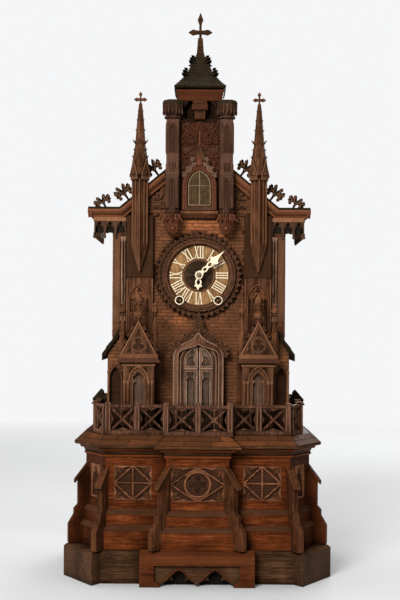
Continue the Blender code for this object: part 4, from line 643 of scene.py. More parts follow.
def sprig(bm, origin, along, out, size, fan=(-1.1, -0.55, 0.0, 0.55, 1.1), curl=0.8):
    """Fan of lobed leaves that lies square to out, the middle leaf longest."""
    along = Vector(along).normalized()
    across = Vector(out).normalized().cross(along)
    for turn in fan:
        share = 1.0 - 0.22 * abs(turn)
        way = along * math.cos(turn) + across * math.sin(turn)
        leaf(bm, origin, way, out, size * share, 0.46 * size, 0.3 * size, curl, 2, 8)


def mirror(bm):
    """Add the left-hand copy of everything made so far."""
    copied = bmesh.ops.duplicate(bm, geom=bm.verts[:] + bm.edges[:] + bm.faces[:])["geom"]
    faces = [item for item in copied if isinstance(item, bmesh.types.BMFace)]
    for item in copied:
        if isinstance(item, bmesh.types.BMVert):
            item.co.x = -item.co.x
    bmesh.ops.reverse_faces(bm, faces=faces)


SHARP_EDGE = math.radians(38.0)


def piece(name, bm, material, body="case"):
    """Make an object of a bmesh, with its finish, that rides on a body."""
    bmesh.ops.recalc_face_normals(bm, faces=bm.faces[:])
    mesh = bpy.data.meshes.new(name)
    bm.to_mesh(mesh)
    bm.free()
    mesh.materials.append(material)
    mesh.shade_smooth()
    mesh.set_sharp_from_angle(angle=SHARP_EDGE)
    obj = bpy.data.objects.new(name, mesh)
    bpy.context.scene.collection.objects.link(obj)
    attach(obj, body)
    return obj


def dark_boards(name, material, outline, where, thick, chamfer, base=0.0):
    """Flat dark piece on the right-hand side and its left-hand copy."""
    bm = bmesh.new()
    plate(bm, [outline], where, thick, chamfer, base)
    mirror(bm)
    piece(name, bm, material)


# CAD nodes: finishes and rounded edges

def dress(names, material, width=0.0006):
    """Give CAD nodes a finish and softened edges."""
    for name in names:
        obj = NODES[name]
        obj.data.materials.clear()
        obj.data.materials.append(material)
        weld = obj.modifiers.new("weld", "WELD")
        weld.merge_threshold = 0.00001
        soft = obj.modifiers.new("edges", "BEVEL")
        soft.width = width
        soft.segments = 2
        soft.limit_method = "ANGLE"
        soft.angle_limit = math.radians(28.0)
        soft.harden_normals = True


def sides(*stems):
    return [stem + end for stem in stems for end in ("_left", "_right")]


dress(["base_front_wall"], BASE_WOOD, 0.0009)
dress(["plinth_frame"], PLINTH, 0.0009)
dress(sides("base_wall"), BASE_SIDE_SHADED, 0.0009)
dress(["base_back_board"], EAVE_WOOD, 0.0009)
dress(sides("balustrade") + ["balustrade_front"], BAL_WOOD, 0.0009)
dress(sides("bay_buttress", "corner_buttress"), BUTTRESS, 0.0008)
dress(["terrace_cornice"], CROWN, 0.0012)
dress(["facade_board"], UPRIGHT)
dress(["back_door"], SPIRE_WOOD)
dress(["window_frame", "portal_frame"], CARVING)
dress(["tower_body"], carved_zone("tower_front_oak", in_belfry))
dress(sides("pavilion"), UPRIGHT, 0.0005)
dress(sides("tower_turret"), TOWER_WOOD, 0.0005)
dress(sides("spire"), SPIRE_WOOD, 0.0005)
dress(sides("portal_leaf"), LEAF_GROUND, 0.0005)
dress(sides("case_wall"), WALL_SIDE)
dress(sides("roof", "aisle_roof"), SLATE)
dress(["tower_roof"], TOWER_SLATE)
dress(["dial_bezel"], carved_zone("bezel_oak", beyond_ring), 0.0005)
dress(["chapter_disc"], DIAL_WOOD, 0.0003)
dress(["hour_hand", "minute_hand"] + sides("winding_bush"), BONE, 0.0002)
dress(["cuckoo_door"], PAINT, 0.0003)
dress(["cuckoo_bird"], PAINT, 0.0006)
dress(["seat_board"], DARK_UPRIGHT)
dress(["front_plate", "back_plate", "centre_wheel", "minute_wheel", "hour_wheel", "escape_wheel",
       "time_barrel", "strike_barrel", "back_door_knob", "pendulum", "gong_stand"], BRASS, 0.0002)
dress(["hand_nut"], NUT, 0.0002)
dress(["anchor", "gong", "strike_hammer"], STEEL, 0.0002)


# Base: sunk panels with tracery

BAR = 0.0016
GROUND_T = 0.0004
TRACERY_T = PANEL_SINK - 0.0006
TRACERY_EDGE = 0.0006
ROSE_RING = 0.0208
CORNER_LEAVES = ((0.0, 1.0), (-0.62, 0.92), (0.62, 0.92), (-0.3, 0.6), (0.3, 0.6))
CORNERS = [(su, sv) for su in SIGNS for sv in SIGNS]


def panel_ground(bm, where, half_u):
    """Dark ground of painted shade at the bottom of a sunk panel."""
    plate(bm, [rectangle(half_u - 0.0002, PANEL_HALF_V - 0.0002)], where, GROUND_T, 0.0001)


def corner_leaves(bm, where, half_u, size):
    """Leaves that grow from each corner of a panel towards its middle."""
    turn_out = where.to_3x3()
    for su, sv in CORNERS:
        spot = where @ Vector((su * (half_u - 0.0022), sv * (PANEL_HALF_V - 0.0022), GROUND_T))
        middle = math.atan2(-sv * half_u, -su * PANEL_HALF_V)
        for turn, share in CORNER_LEAVES:
            along = turn_out @ level(middle + turn)
            leaf(bm, spot, along, turn_out @ Z, size * share, 0.34 * size, 0.0026, 0.15, 3, 7)


def corner_light(half_u, half_v, depth):
    """Cusped hole in the corner of a panel that the signs of the two halves point to."""
    corner = [(half_u, 0.0), (half_u, half_v), (0.0, half_v)]
    return cusped(shrunk(*corner, BAR), depth, (0, 1), 4)


def square_tracery(bm, where, half_u):
    """Lozenge with crossing bars."""
    holes = []
    for su, sv in CORNERS:
        holes.append(shrunk((0.0, 0.0), (su * half_u, 0.0), (0.0, sv * PANEL_HALF_V), BAR))
        holes.append(corner_light(su * half_u, sv * PANEL_HALF_V, 0.003))
    plate(bm, [rectangle(half_u, PANEL_HALF_V)] + holes, where, TRACERY_T, TRACERY_EDGE)


def rose_tracery(bm, where, half_u):
    """Wide lozenge round a ring."""
    holes = [ring(ROSE_RING - 0.0012, 32)]
    outer = ROSE_RING + 0.0012
    angle = math.radians(40.0)
    near = outer * math.cos(angle)
    tall = PANEL_HALF_V * (1.0 - near / half_u)
    for su in SIGNS:
        for sv in SIGNS:
            holes.append(corner_light(su * half_u, sv * PANEL_HALF_V, 0.0032))
        turns = [-angle + 2.0 * angle * k / 8 for k in range(1, 8)]
        arc = [(su * outer * math.cos(turn), outer * math.sin(turn)) for turn in turns]
        holes.append(inset([(su * near, tall), (su * half_u, 0.0), (su * near, -tall)] + arc, BAR))
    plate(bm, [rectangle(half_u, PANEL_HALF_V)] + holes, where, TRACERY_T, TRACERY_EDGE)
    trim(bm, where, ring(ROSE_RING, 36), 0.0011, 8, TRACERY_T, True)


def rose(bm, rim_bm, where):
    """Four broad lobes cut low inside the ring of the rose panel."""
    turn_out = where.to_3x3()
    for i in range(4):
        angle = 0.5 * math.pi * i
        spot = where @ Vector((0.0024 * math.cos(angle), 0.0024 * math.sin(angle), GROUND_T))
        leaf(bm, spot, turn_out @ level(angle), turn_out @ Z, 0.015, 0.017, 0.0016, 0.02, 1, 8)
    trim(rim_bm, where, foil(ROSE_RING - 0.003, 4), 0.0007, 6, GROUND_T + 0.0004, True)


def base_panel(meshes, where, half_u, tracery, leaf_size):
    """Tracery, dark ground and corner leaves of one sunk panel."""
    bars, ground, leaves = meshes
    tracery(bars, where, half_u)
    panel_ground(ground, where, half_u)
    corner_leaves(leaves, where, half_u, leaf_size)


bm = bmesh.new()
dark_bm = bmesh.new()
leaf_bm = bmesh.new()
panel_meshes = (bm, dark_bm, leaf_bm)
base_panel(panel_meshes, facing(BODY_Y + PANEL_SINK, 0.1115, PANEL_MID_Z), 0.0325, square_tracery, 0.0165)
cant_face = place((CANT_MID.x, CANT_MID.y, PANEL_MID_Z), CANT_RUN)
cant_panel = cant_face @ Matrix.Translation((0.0, 0.0, -PANEL_SINK))
cant_light = lancet(0.0, 0.0105, 0.004 - PANEL_HALF_V, 0.036 - PANEL_HALF_V, 0.018, 0.0035)
plate(bm, [rectangle(0.017, PANEL_HALF_V), cant_light], cant_panel, TRACERY_T, 0.0008)
panel_ground(dark_bm, cant_panel, 0.017)
for y in (0.008, 0.076):
    base_panel(panel_meshes, place((SIDE_X - PANEL_SINK, y, PANEL_MID_Z), Y), 0.034, square_tracery, 0.0165)
for target in panel_meshes:
    mirror(target)
bay_panel = facing(BAY_Y + PANEL_SINK, 0.0, PANEL_MID_Z)
base_panel(panel_meshes, bay_panel, 0.046, rose_tracery, 0.0185)
rose(dark_bm, leaf_bm, bay_panel)
piece("base_tracery", bm, TRACERY)
piece("base_panel_leaves", leaf_bm, BUTTRESS)
piece("base_panel_grounds", dark_bm, GROUND)


# Balustrade: cusped panels behind the crossing bars

def bal_panel(bm, start, end, bays, reeded=()):
    """Bays of cusped panels from start to end; the posts counted in reeded get two reeds."""
    run = (end - start).normalized()
    pitch = (end - start).length / bays
    half_u = 0.5 * (pitch - BAL_POST) + 0.0006
    half_v = 0.5 * (BAL_HIGH - BAL_LOW) + 0.0006
    mid_z = 0.5 * (BAL_HIGH + BAL_LOW)
    border = rectangle(half_u, half_v)
    holes = [cusped(shrunk(a, b, (0.0, 0.0), 0.0013), 0.004, (0,), 5)
             for a, b in zip(border, border[1:] + border[:1])]
    for i in range(bays):
        spot = start + run * ((i + 0.5) * pitch)
        where = place((spot.x, spot.y, mid_z), run)
        plate(bm, [border] + holes, where, 0.0024, 0.0005, -0.0012)
        trim(bm, where, rectangle(half_u + 0.0008, half_v + 0.0008), 0.0011, 6, 0.0026, True)
    for i in reeded:
        where = place((start.x + run.x * i * pitch, start.y + run.y * i * pitch, mid_z), run)
        for u in (-0.0031, 0.0031):
            trim(bm, where, [(u, 0.001 - half_v), (u, half_v + 0.002)], 0.001, 6, 0.0049)


bm = bmesh.new()
cant_end = BAL_CORNER + CANT_RUN * ((BAL_SIDE_X - BAL_CORNER.x) / CANT_RUN.x)
bal_panel(bm, Vector((BAL_BAY_HALF, BAL_FRONT_Y, 0.0)), BAL_CORNER, 2, (1, 2))
bal_panel(bm, BAL_CORNER + CANT_RUN * 0.0099, cant_end, 1)
bal_panel(bm, cant_end, Vector((BAL_SIDE_X, BAL_BACK_Y, 0.0)), 4)
mirror(bm)
bay_ends = [Vector((sign * BAL_BAY_HALF, BAL_BAY_Y, 0.0)) for sign in SIGNS]
bal_panel(bm, *bay_ends, 2, (0, 1, 2))
piece("balustrade_panels", bm, BAL_WOOD)


# Brick courses

COURSE = 0.0062
JOINT = 0.0004
BRICK_OUT = 0.0006
BRICK_SLOPE = 0.0004
BRICK_FOOT = DECK + 0.001
BURIED = -0.0002
DIAL_CLEAR = 0.0795
STRIP_X = 0.13
WALL_END = 0.145
WARM_SPOTS = ((0.0, 0.619, 0.05, 0.026, 0.95), (-0.034, 0.452, 0.026, 0.028, 0.85),
              (0.048, 0.6, 0.03, 0.03, 0.45), (0.04, 0.44, 0.025, 0.025, 0.35),
              (-0.075, 0.56, 0.015, 0.06, 0.2))


def random_shade(mean, spread):
    return min(1.0, max(0.0, RNG.gauss(mean, spread)))


def toned_block(bm, low, top, shade):
    """Brick or slab between two four-cornered faces, with a shade of its own."""
    tone = bm.verts.layers.float.get("tone") or bm.verts.layers.float.new("tone")
    low_ring, top_ring = skin(bm, [low, top])
    for corner in low_ring + top_ring:
        corner[tone] = shade


def none_barred(v0, v1):
    return []


def cool(u, v):
    return 0.36


def brick_wall(bm, where, u0, u1, v0, v1, barred=none_barred, warmth=cool):
    """Courses of separate bricks between v0 and v1, leaving out the barred stretches of each course."""
    row = 0
    v = v0
    while v + COURSE <= v1 + 1e-6:
        spans = [(u0, u1)]
        for low, high in barred(v, v + COURSE):
            spans = [part for a, b in spans for part in ((a, min(b, low)), (max(a, high), b))
                     if part[1] - part[0] > 0.004]
        for low, high in spans:
            u = low - (row % 2) * 0.009 - RNG.uniform(0.0, 0.003)
            while u < high:
                long = RNG.uniform(0.016, 0.021)
                a = max(u, low) + 0.5 * JOINT
                b = min(u + long, high) - 0.5 * JOINT
                u += long
                if b - a < 0.003:
                    continue
                shade = random_shade(warmth(0.5 * (a + b), v), 0.15)
                deep = BRICK_OUT * RNG.uniform(0.75, 1.15)
                faces = []
                for out, slope in ((BURIED, 0.0), (deep, BRICK_SLOPE)):
                    foot = v + 0.5 * JOINT + slope
                    head = v + COURSE - 0.5 * JOINT - slope
                    corners = [(a + slope, foot), (b - slope, foot), (b - slope, head), (a + slope, head)]
                    faces.append(on(where, corners, out))
                toned_block(bm, *faces, shade)
        v += COURSE
        row += 1


def wall_barred(v0, v1):
    """What stands on the clock wall at this course: dial, portal, sill, tower, pavilions and roof."""
    mid = 0.5 * (v0 + v1)
    spans = []
    if abs(mid - DIAL_Z) < DIAL_CLEAR:
        half = math.sqrt(DIAL_CLEAR ** 2 - (mid - DIAL_Z) ** 2)
        spans.append((-half, half))
    if mid < 0.387:
        spans.append((-0.045, 0.045))
    elif mid < 0.47:
        half = 0.044 * max(0.08, (1.0 - (mid - 0.385) / 0.04)) if mid < 0.425 else 0.006
        spans.append((-half, half))
    if 0.632 < v1 and v0 < 0.65:
        spans.append((-0.034, 0.034))
    if v1 > 0.646:
        spans.append((-0.038, 0.038))
    starts = [STRIP_X]
    if v0 < 0.3955:
        starts.append(0.0705)
    if v1 > 0.394 and v0 < 0.64:
        starts.append(0.0815)
    if v1 > 0.602:
        under_rake = RAKE_X - (v1 + 0.0195 * SLANT - EAVE_Z) / RAKE
        starts.append(min(STRIP_X, max(0.0, under_rake)))
    return spans + [(min(starts), WALL_END), (-WALL_END, -min(starts))]


def wall_warmth(u, v):
    """How much lighter and more orange the bricks are, above all over the dial."""
    total = 0.2
    for x, z, wide, tall, gain in WARM_SPOTS:
        total += gain * math.exp(-((u - x) / wide) ** 2 - ((v - z) / tall) ** 2)
    return total


def aisle_barred(v0, v1):
    """Roof, arched opening and pavilion on the aisle front."""
    mid = 0.5 * (v0 + v1)
    under_roof = 0.171 - (v1 + 0.0125 - 0.389) / 1.5
    spans = [(min(AISLE_X, under_roof), 0.17)]
    if mid < 0.372:
        half = 0.0122 if mid < 0.35 else 0.0122 * math.sqrt((0.372 - mid) / 0.022)
        spans.append((AISLE_MID_X - half, AISLE_MID_X + half))
    if v0 < 0.391:
        spans.append((0.13, 0.1395 if v1 > 0.371 else 0.1325))
    return spans


def flank_barred(v0, v1):
    """Blind arches along the aisle's side."""
    if v1 < 0.28 or v0 > 0.369:
        return []
    return [(y - 0.0125, y + 0.0125) for y in FLANK_Y]


bm = bmesh.new()
brick_wall(bm, facing(WALL_Y), -0.1405, 0.1405, BRICK_FOOT, 0.722, wall_barred, wall_warmth)
side_bm = bmesh.new()
brick_wall(side_bm, facing(AISLE_Y), 0.1325, AISLE_X, BRICK_FOOT, 0.425, aisle_barred)
brick_wall(side_bm, place((AISLE_X, 0.0, 0.0), Y), -0.047, 0.117, BRICK_FOOT, 0.388, flank_barred)
brick_wall(side_bm, place((0.155, 0.0, 0.0), Y), -0.0245, 0.117, 0.4205, 0.634)
mirror(side_bm)
piece("side_bricks", side_bm, BRICK)
piece("wall_bricks", bm, BRICK)


# Dial: numerals, rings, leaf rim

NUMERALS = ("XII", "I", "II", "III", "IIII", "V", "VI", "VII", "VIII", "IX", "X", "XI")
LETTER_WIDE = {"I": 0.203, "V": 0.435, "X": 0.435}
THICK_STROKE = 0.094
THIN_STROKE = 0.062
V_LEAN = 0.145
X_LEAN = 0.135
WIDEST_NUMERAL = 1.02
NUMERAL_IN = 0.0304
NUMERAL_H = 0.0217
SERIF_OUT = 0.0012
SERIF_HALF = 0.0007
WIND_X = 0.0345
WIND_Z = 0.4863
RIM_LEAVES = 44
dial_centre = Vector((0.0, 0.0, DIAL_Z))


def numeral_width(text):
    return sum(LETTER_WIDE[letter] for letter in text)


def numeral_strokes(text):
    """Strokes of a Roman numeral as (bottom, top, weight) lines, centred on zero, in letter heights."""
    at = -0.5 * numeral_width(text)
    strokes = []
    for letter in text:
        mid = at + 0.5 * LETTER_WIDE[letter]
        if letter == "I":
            strokes.append((mid, mid, THICK_STROKE))
        elif letter == "V":
            strokes.append((mid, mid - V_LEAN, THICK_STROKE))
            strokes.append((mid, mid + V_LEAN, THIN_STROKE))
        else:
            strokes.append((mid + X_LEAN, mid - X_LEAN, THICK_STROKE))
            strokes.append((mid - X_LEAN, mid + X_LEAN, THIN_STROKE))
        at += LETTER_WIDE[letter]
    return strokes


def dial_way(angle):
    """Direction on the dial, anticlockwise from three o'clock, and the one square to it."""
    out = Vector((math.cos(angle), 0.0, math.sin(angle)))
    return out, Vector((-out.z, 0.0, out.x))


def dial_ring(bm, radius, y, thick):
    bead(bm, [dial_centre + Vector((u, y, v)) for u, v in ring(radius, 64)], FRONT, thick, 8, True)


def dial_leaf(bm, angle, lean, start, y, size, wide, rise, curl):
    """Leaf that starts on a circle round the dial's centre and leans away from the radius."""
    out, tangent = dial_way(angle)
    along = out * math.cos(lean) + tangent * math.sin(lean)
    leaf(bm, dial_centre + out * start + Y * y, along, FRONT, size, wide, rise, curl, 2, 7)


bm = bmesh.new()
for hour, text in enumerate(NUMERALS):
    out, tangent = dial_way(math.radians(90.0 - 30.0 * hour))
    squeeze = min(1.0, WIDEST_NUMERAL / numeral_width(text))
    where = place(dial_centre + Y * CHAPTER_Y + out * NUMERAL_IN, -tangent, out)
    for layer, (foot, head, weight) in enumerate(numeral_strokes(text)):
        a = foot * NUMERAL_H * squeeze
        b = head * NUMERAL_H * squeeze
        w = 0.5 * weight * NUMERAL_H
        high = 0.0009 + 0.00004 * layer
        stroke = [(a - w, 0.0), (a + w, 0.0), (b + w, NUMERAL_H), (b - w, NUMERAL_H)]
        plate(bm, [stroke], where, high, 0.0002)
        for spot, at in ((a, SERIF_HALF), (b, NUMERAL_H - SERIF_HALF)):
            plate(bm, [rectangle(w + SERIF_OUT, SERIF_HALF, spot, at)], where, high + 0.00002, 0.0002)
piece("numerals", bm, OLD_BONE)

bm = bmesh.new()
dial_ring(bm, 0.0272, CHAPTER_Y - 0.0002, 0.0011)
dial_ring(bm, 0.0296, CHAPTER_Y + 0.0002, 0.0007)
dial_ring(bm, 0.0541, CHAPTER_Y - 0.0002, 0.0007)
piece("dial_rings", bm, MOULDING)

bm = bmesh.new()
plate(bm, [ring(0.0262, 64), ring(0.0066, 24)], facing(CHAPTER_Y, 0.0, DIAL_Z), 0.0006, 0.0002)
for count, start, size, lean in ((10, 0.0085, 0.016, 0.45), (10, 0.015, 0.0105, -0.55)):
    for i in range(count):
        angle = 2.0 * math.pi * (i + 0.5 * (lean < 0.0)) / count
        dial_leaf(bm, angle, lean, start, CHAPTER_Y - 0.0004, size, 0.0062, 0.0024, 0.0)
piece("dial_rose", bm, DARK_UPRIGHT)

# Painted shade: a black lining in the winding holes.
bm = bmesh.new()
plate(bm, [ring(0.0062, 32), ring(0.0036, 24)], facing(-0.0362, WIND_X, WIND_Z), 0.0008, 0.0002)
mirror(bm)
piece("winding_hole_lining", bm, SHADE_BLACK)

bm = bmesh.new()
dial_ring(bm, 0.0578, -0.0374, 0.0014)
dial_ring(bm, 0.064, -0.0372, 0.0013)
for i in range(RIM_LEAVES):
    angle = 2.0 * math.pi * i / RIM_LEAVES
    for lean, start, size, wide in ((0.35, 0.065, 0.0136, 0.007), (-0.95, 0.0685, 0.008, 0.0046),
                                    (1.25, 0.067, 0.008, 0.0044)):
        dial_leaf(bm, angle, lean, start, -0.0296, size, wide, 0.0042, 0.55)
piece("dial_leaf_rim", bm, CARVING)


# Porch plinth: sunk arcade of two trefoil arches

PORCH_Y = -0.15
PORCH_HALF = 0.0972
PORCH_OPEN = 0.0745
PORCH_BACK_Y = -0.1243
PORCH_NOSE_Y = -0.1303
PORCH_RIM_Y = -0.1446
PORCH_SPLIT_Z = 0.04
PORCH_ARCH_X = 0.0305
PORCH_ARCH_HALF = 0.0305
ARCH_EDGE = [(PORCH_ARCH_HALF, 0.001), (0.0235, 0.0105), (0.015, 0.0195), (0.007, 0.0262), (0.0, 0.0305)]
CUSP_EDGE = [(PORCH_ARCH_HALF - 0.001, 0.001), (0.0215, 0.008), (0.0165, 0.0105), (0.01, 0.0098),
             (0.012, 0.014), (0.0108, 0.0185), (0.0066, 0.0222), (0.0, 0.0258)]


def porch_edge(profile):
    """Front board of the porch whose lower edge is two arches with a pendant between them."""
    edge = [(-PORCH_OPEN, 0.0)]
    for centre in (-PORCH_ARCH_X, PORCH_ARCH_X):
        for u, v in reversed(whole(profile)):
            if math.dist((centre + u, v), edge[-1]) > 1e-5:
                edge.append((centre + u, v))
    return edge + [(PORCH_OPEN, 0.0), (PORCH_OPEN, PORCH_SPLIT_Z), (-PORCH_OPEN, PORCH_SPLIT_Z)]


bm = bmesh.new()
wedge = [(PORCH_Y, PORCH_SPLIT_Z), (PORCH_BACK_Y, PORCH_SPLIT_Z), (PORCH_BACK_Y, 0.0552),
         (PORCH_NOSE_Y, 0.0552), (PORCH_NOSE_Y, 0.06), (PORCH_Y, 0.053)]
plate(bm, [wedge], place((-PORCH_HALF, 0.0, 0.0), Y), 2.0 * PORCH_HALF, 0.0)
legs = [(PORCH_HALF, 0.0), (PORCH_HALF, PORCH_SPLIT_Z), (-PORCH_HALF, PORCH_SPLIT_Z), (-PORCH_HALF, 0.0),
        (-0.062, 0.0), (-0.064, 0.0055), (-0.0725, 0.0115), (-0.0725, 0.036), (0.0725, 0.036),
        (0.0725, 0.0115), (0.064, 0.0055), (0.062, 0.0)]
plate(bm, [legs], facing(-0.1445), 0.0055, 0.0008)
for sign in SIGNS:
    plate(bm, [rectangle(0.0115, 0.5 * PORCH_SPLIT_Z, sign * 0.0857, 0.5 * PORCH_SPLIT_Z)],
          facing(PORCH_BACK_Y), 0.0202, 0.0)
    rim = [(sign * PORCH_ARCH_X + u, v) for u, v in whole(ARCH_EDGE[1:])]
    bead(bm, at_depth(rim, PORCH_RIM_Y), FRONT, 0.0013)
porch = piece("porch_arcade", bm, PORCH_WOOD)
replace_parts(porch, "porch_plinth")
bm = bmesh.new()
plate(bm, [porch_edge(ARCH_EDGE)], facing(-0.14), 0.004, 0.0008)
plate(bm, [porch_edge(CUSP_EDGE)], facing(-0.134), 0.0058, 0.0008)
piece("porch_tracery", bm, PLINTH)
# Painted shade: a black board behind the porch arches.
bm = bmesh.new()
plate(bm, [rectangle(PORCH_OPEN, 0.019, 0.0, 0.0205)], facing(PORCH_BACK_Y), 0.006, 0.0004)
piece("porch_backing", bm, SHADE_BLACK)


# Base: beads, terrace slabs, stepped weatherings

CROWN_OUT = 0.02
CROWN_LOW = 0.236
SLAB_LONG = 0.052
SLAB_JOINT = 0.0006
SLAB_T = 0.0009
SLAB_ROWS = ((0.02, 0.5), (0.5, 0.98))
SLAB_SHADE = (0.34, 0.34)
STEP_SECTION = [(-0.0003, 0.0074), (0.0004, 0.008), (0.0068, 0.0004), (0.0068, -0.001), (0.0058, -0.001)]


def body_path(distance, z):
    """Line round the base body, from the back left corner over the front to the back right."""
    half = [(0.054, BAY_Y), (0.054, BODY_Y), (0.16, BODY_Y), (SIDE_X, -0.05), (SIDE_X, 0.15)]
    moved = shifted(wound(whole(half), True), distance)
    start = max(range(len(moved)), key=lambda i: (moved[i][1], moved[i][0]))
    turned_round = moved[start + 1:] + moved[:start + 1]
    return [(x, min(y, 0.1495), z) for x, y in turned_round]


bm = bmesh.new()
bead(bm, body_path(0.0012, 0.2165), Z, 0.0022)
bead(bm, body_path(0.0075, 0.2285), Z, 0.003)
piece("base_beads", bm, BASE_WOOD)

# Worn slabs in two staggered rows on the sloping crown, with light hips
eaves_line = [Vector(point) for point in body_path(CROWN_OUT, CROWN_LOW)]
deck_line = [Vector(point) for point in body_path(0.0, DECK)]
bm = bmesh.new()
hip_bm = bmesh.new()
for low_a, low_b, top_a, top_b in zip(eaves_line, eaves_line[1:], deck_line, deck_line[1:]):
    across = (low_b - low_a).length
    normal = (low_b - low_a).cross(top_a - low_a).normalized()
    if normal.z < 0.0:
        normal = -normal
    count = max(1, round(across / SLAB_LONG))
    gap = SLAB_JOINT / across
    for row, (v0, v1) in enumerate(SLAB_ROWS):
        cuts = [0.0] + [(k + 0.5 * (row % 2)) / count for k in range(1 - row % 2, count)] + [1.0]
        for u0, u1 in zip(cuts, cuts[1:]):
            left, right, foot, head = u0 + gap, u1 - gap, v0 + 0.02, v1 - 0.02
            spots = [low_a.lerp(low_b, u).lerp(top_a.lerp(top_b, u), v)
                     for u, v in ((left, foot), (right, foot), (right, head), (left, head))]
            toned_block(bm, [spot + normal * BURIED for spot in spots],
                        [spot + normal * SLAB_T for spot in spots], random_shade(*SLAB_SHADE))
for low, top in zip(eaves_line[1:-1], deck_line[1:-1]):
    bead(hip_bm, [low, top], Z, 0.0011, 6)
piece("terrace_slabs", bm, SLAB)
piece("terrace_hips", hip_bm, MOULDING)

# Sloped steps of the body carry a dark, dirty weathering with a small nosing
bm = bmesh.new()
for step_z, out in ((0.09, 0.006), (0.117, 0.0)):
    sweep(bm, STEP_SECTION, body_path(out, step_z), Z)
piece("base_step_weatherings", bm, WEATHERING)


# Clock wall: edge strips, rake and wing mouldings, hanging arcades, crests, spandrels

EDGE_LOW = 0.446
EDGE_HIGH = 0.601
EDGE_HALF = 0.0775
EDGE_MID = 0.5235
COLONNETTE = [(0.0, EDGE_LOW), (0.003, 0.45), (0.0033, 0.454), (0.0022, 0.458), (0.0021, 0.59),
              (0.0031, 0.595), (0.0034, 0.6), (0.0, EDGE_HIGH)]
WALL_EDGE_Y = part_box("case_wall_right")[0].y
bm = bmesh.new()
for x in (0.133, 0.1381):
    turned(bm, COLONNETTE, upright(x, WALL_Y - 0.0026), 12)
mirror(bm)
piece("wall_colonnettes", bm, LEAF_WOOD)
bm = bmesh.new()
plate(bm, [rectangle(0.0058, EDGE_HALF, 0.1478, EDGE_MID)], facing(WALL_EDGE_Y), 0.001, 0.0003, BURIED)
for x in (0.1428, 0.153):
    bead(bm, at_depth([(x, EDGE_LOW), (x, EDGE_HIGH)], WALL_EDGE_Y - 0.0008), FRONT, 0.001, 6)
mirror(bm)
piece("wall_edge_boards", bm, SPIRE_WOOD)
edge_ground = rectangle(0.0048, EDGE_HALF, 0.1355, EDGE_MID)
dark_boards("wall_edge_grounds", GROUND, edge_ground, facing(WALL_Y), 0.0005, 0.0001, BURIED)

RAKE_TOP_X = 0.061
RAKE_FOOT = 0.1401
WING_SIDE = 0.188
MITRE = 0.0113
UNDER_EAVE = EAVE_Z - 0.008
FACE_Y = -0.0253
MOULD = [(0.0004, 0.0117), (0.0026, 0.0119), (0.0062, 0.007), (0.0106, 0.0059), (0.0106, 0.0045),
         (0.0004, 0.0045)]
bm = bmesh.new()
front_path = at_depth([(RAKE_TOP_X, roof_z(RAKE_TOP_X) - 0.008 * SLANT), (RAKE_FOOT, UNDER_EAVE),
                       (WING_SIDE + MITRE, UNDER_EAVE)], FACE_Y)
side_path = [(WING_SIDE, FACE_Y - MITRE, UNDER_EAVE), (WING_SIDE, 0.1174, UNDER_EAVE)]
sweep(bm, MOULD, front_path, FRONT)
sweep(bm, MOULD, side_path, X)
for path, out, proud in ((front_path, FRONT, 0.0126), (side_path, X, 0.0108)):
    strip = [(-0.004, proud), (-0.004, proud + 0.001), (0.0004, proud + 0.001), (0.0004, proud)]
    sweep(bm, strip, path, out)
mirror(bm)
piece("eave_mouldings", bm, EAVE_WOOD)

# Hanging arcades under the wings: open pointed arches with cusped heads, pendants, and a dark ground of
# painted shade behind the front arches
ARCADE_LOW = 0.6027
ARCADE_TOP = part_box("wing_arcade_right")[1][2]
ARCADE_FRONT = (facing(-0.0303), 0.131, 0.0575, 3)
ARCADE_SIDE = (place((0.1885, 0.0, 0.0), Y), -0.0252, 0.1429, 8)
FASCIA_SIDE = (-0.0303, 0.148)
FASCIA_Z = 0.6318
FASCIA_BEAD_Z = 0.6284
PENDANT = [(0.0, -0.006), (0.002, -0.0042), (0.0026, -0.0018), (0.0014, 0.0006), (0.0018, 0.0046),
           (0.0, 0.0056)]


def hanging_arches(start, wide, bays, post, cusp):
    """Board outline whose lower edge is a row of arches between pointed posts."""
    pitch = wide / bays
    points = [(start, ARCADE_TOP)]
    for i in range(bays):
        centre = start + (i + 0.5) * pitch
        half = 0.5 * pitch - post
        crown = lancet(centre, half, ARCADE_LOW, ARCADE_LOW + 0.0095, 0.0165, cusp, 8)[2:]
        points += [(centre - 0.5 * pitch, ARCADE_LOW), (centre - half, ARCADE_LOW + 0.0035)]
        points += list(reversed(crown)) + [(centre + half, ARCADE_LOW + 0.0035)]
    return points + [(start + wide, ARCADE_LOW), (start + wide, ARCADE_TOP)]


bm = bmesh.new()
for where, start, wide, bays in (ARCADE_FRONT, ARCADE_SIDE):
    pitch = wide / bays
    plate(bm, [hanging_arches(start, wide, bays, 0.0019, 0.0)], where, 0.0028, 0.0005, -0.0026)
    plate(bm, [hanging_arches(start, wide, bays, 0.0026, 0.0034)], where, 0.0023, 0.0004, -0.0049)
    for i in range(bays):
        crown = arch(0.5 * pitch - 0.0012, ARCADE_LOW + 0.007, 0.0196, 8)
        trim(bm, where, [(start + (i + 0.5) * pitch + u, v) for u, v in crown], 0.0009, 6)
    for i in range(bays + 1):
        foot = where @ Vector((start + i * pitch, ARCADE_LOW, -0.0022))
        turned(bm, PENDANT, Matrix.Translation(foot), 8)
mirror(bm)
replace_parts(piece("wing_tracery", bm, WING_WOOD), "wing_arcade_left", "wing_arcade_right")

where, start, wide, bays = ARCADE_FRONT
ground_low = ARCADE_LOW + 0.0045
ground = rectangle(0.5 * wide - 0.0004, 0.5 * (ARCADE_TOP - ground_low) - 0.0002, start + 0.5 * wide,
                   0.5 * (ARCADE_TOP + ground_low))
dark_boards("wing_grounds", WING_SHADE, ground, where, 0.001, 0.0002, -0.0061)

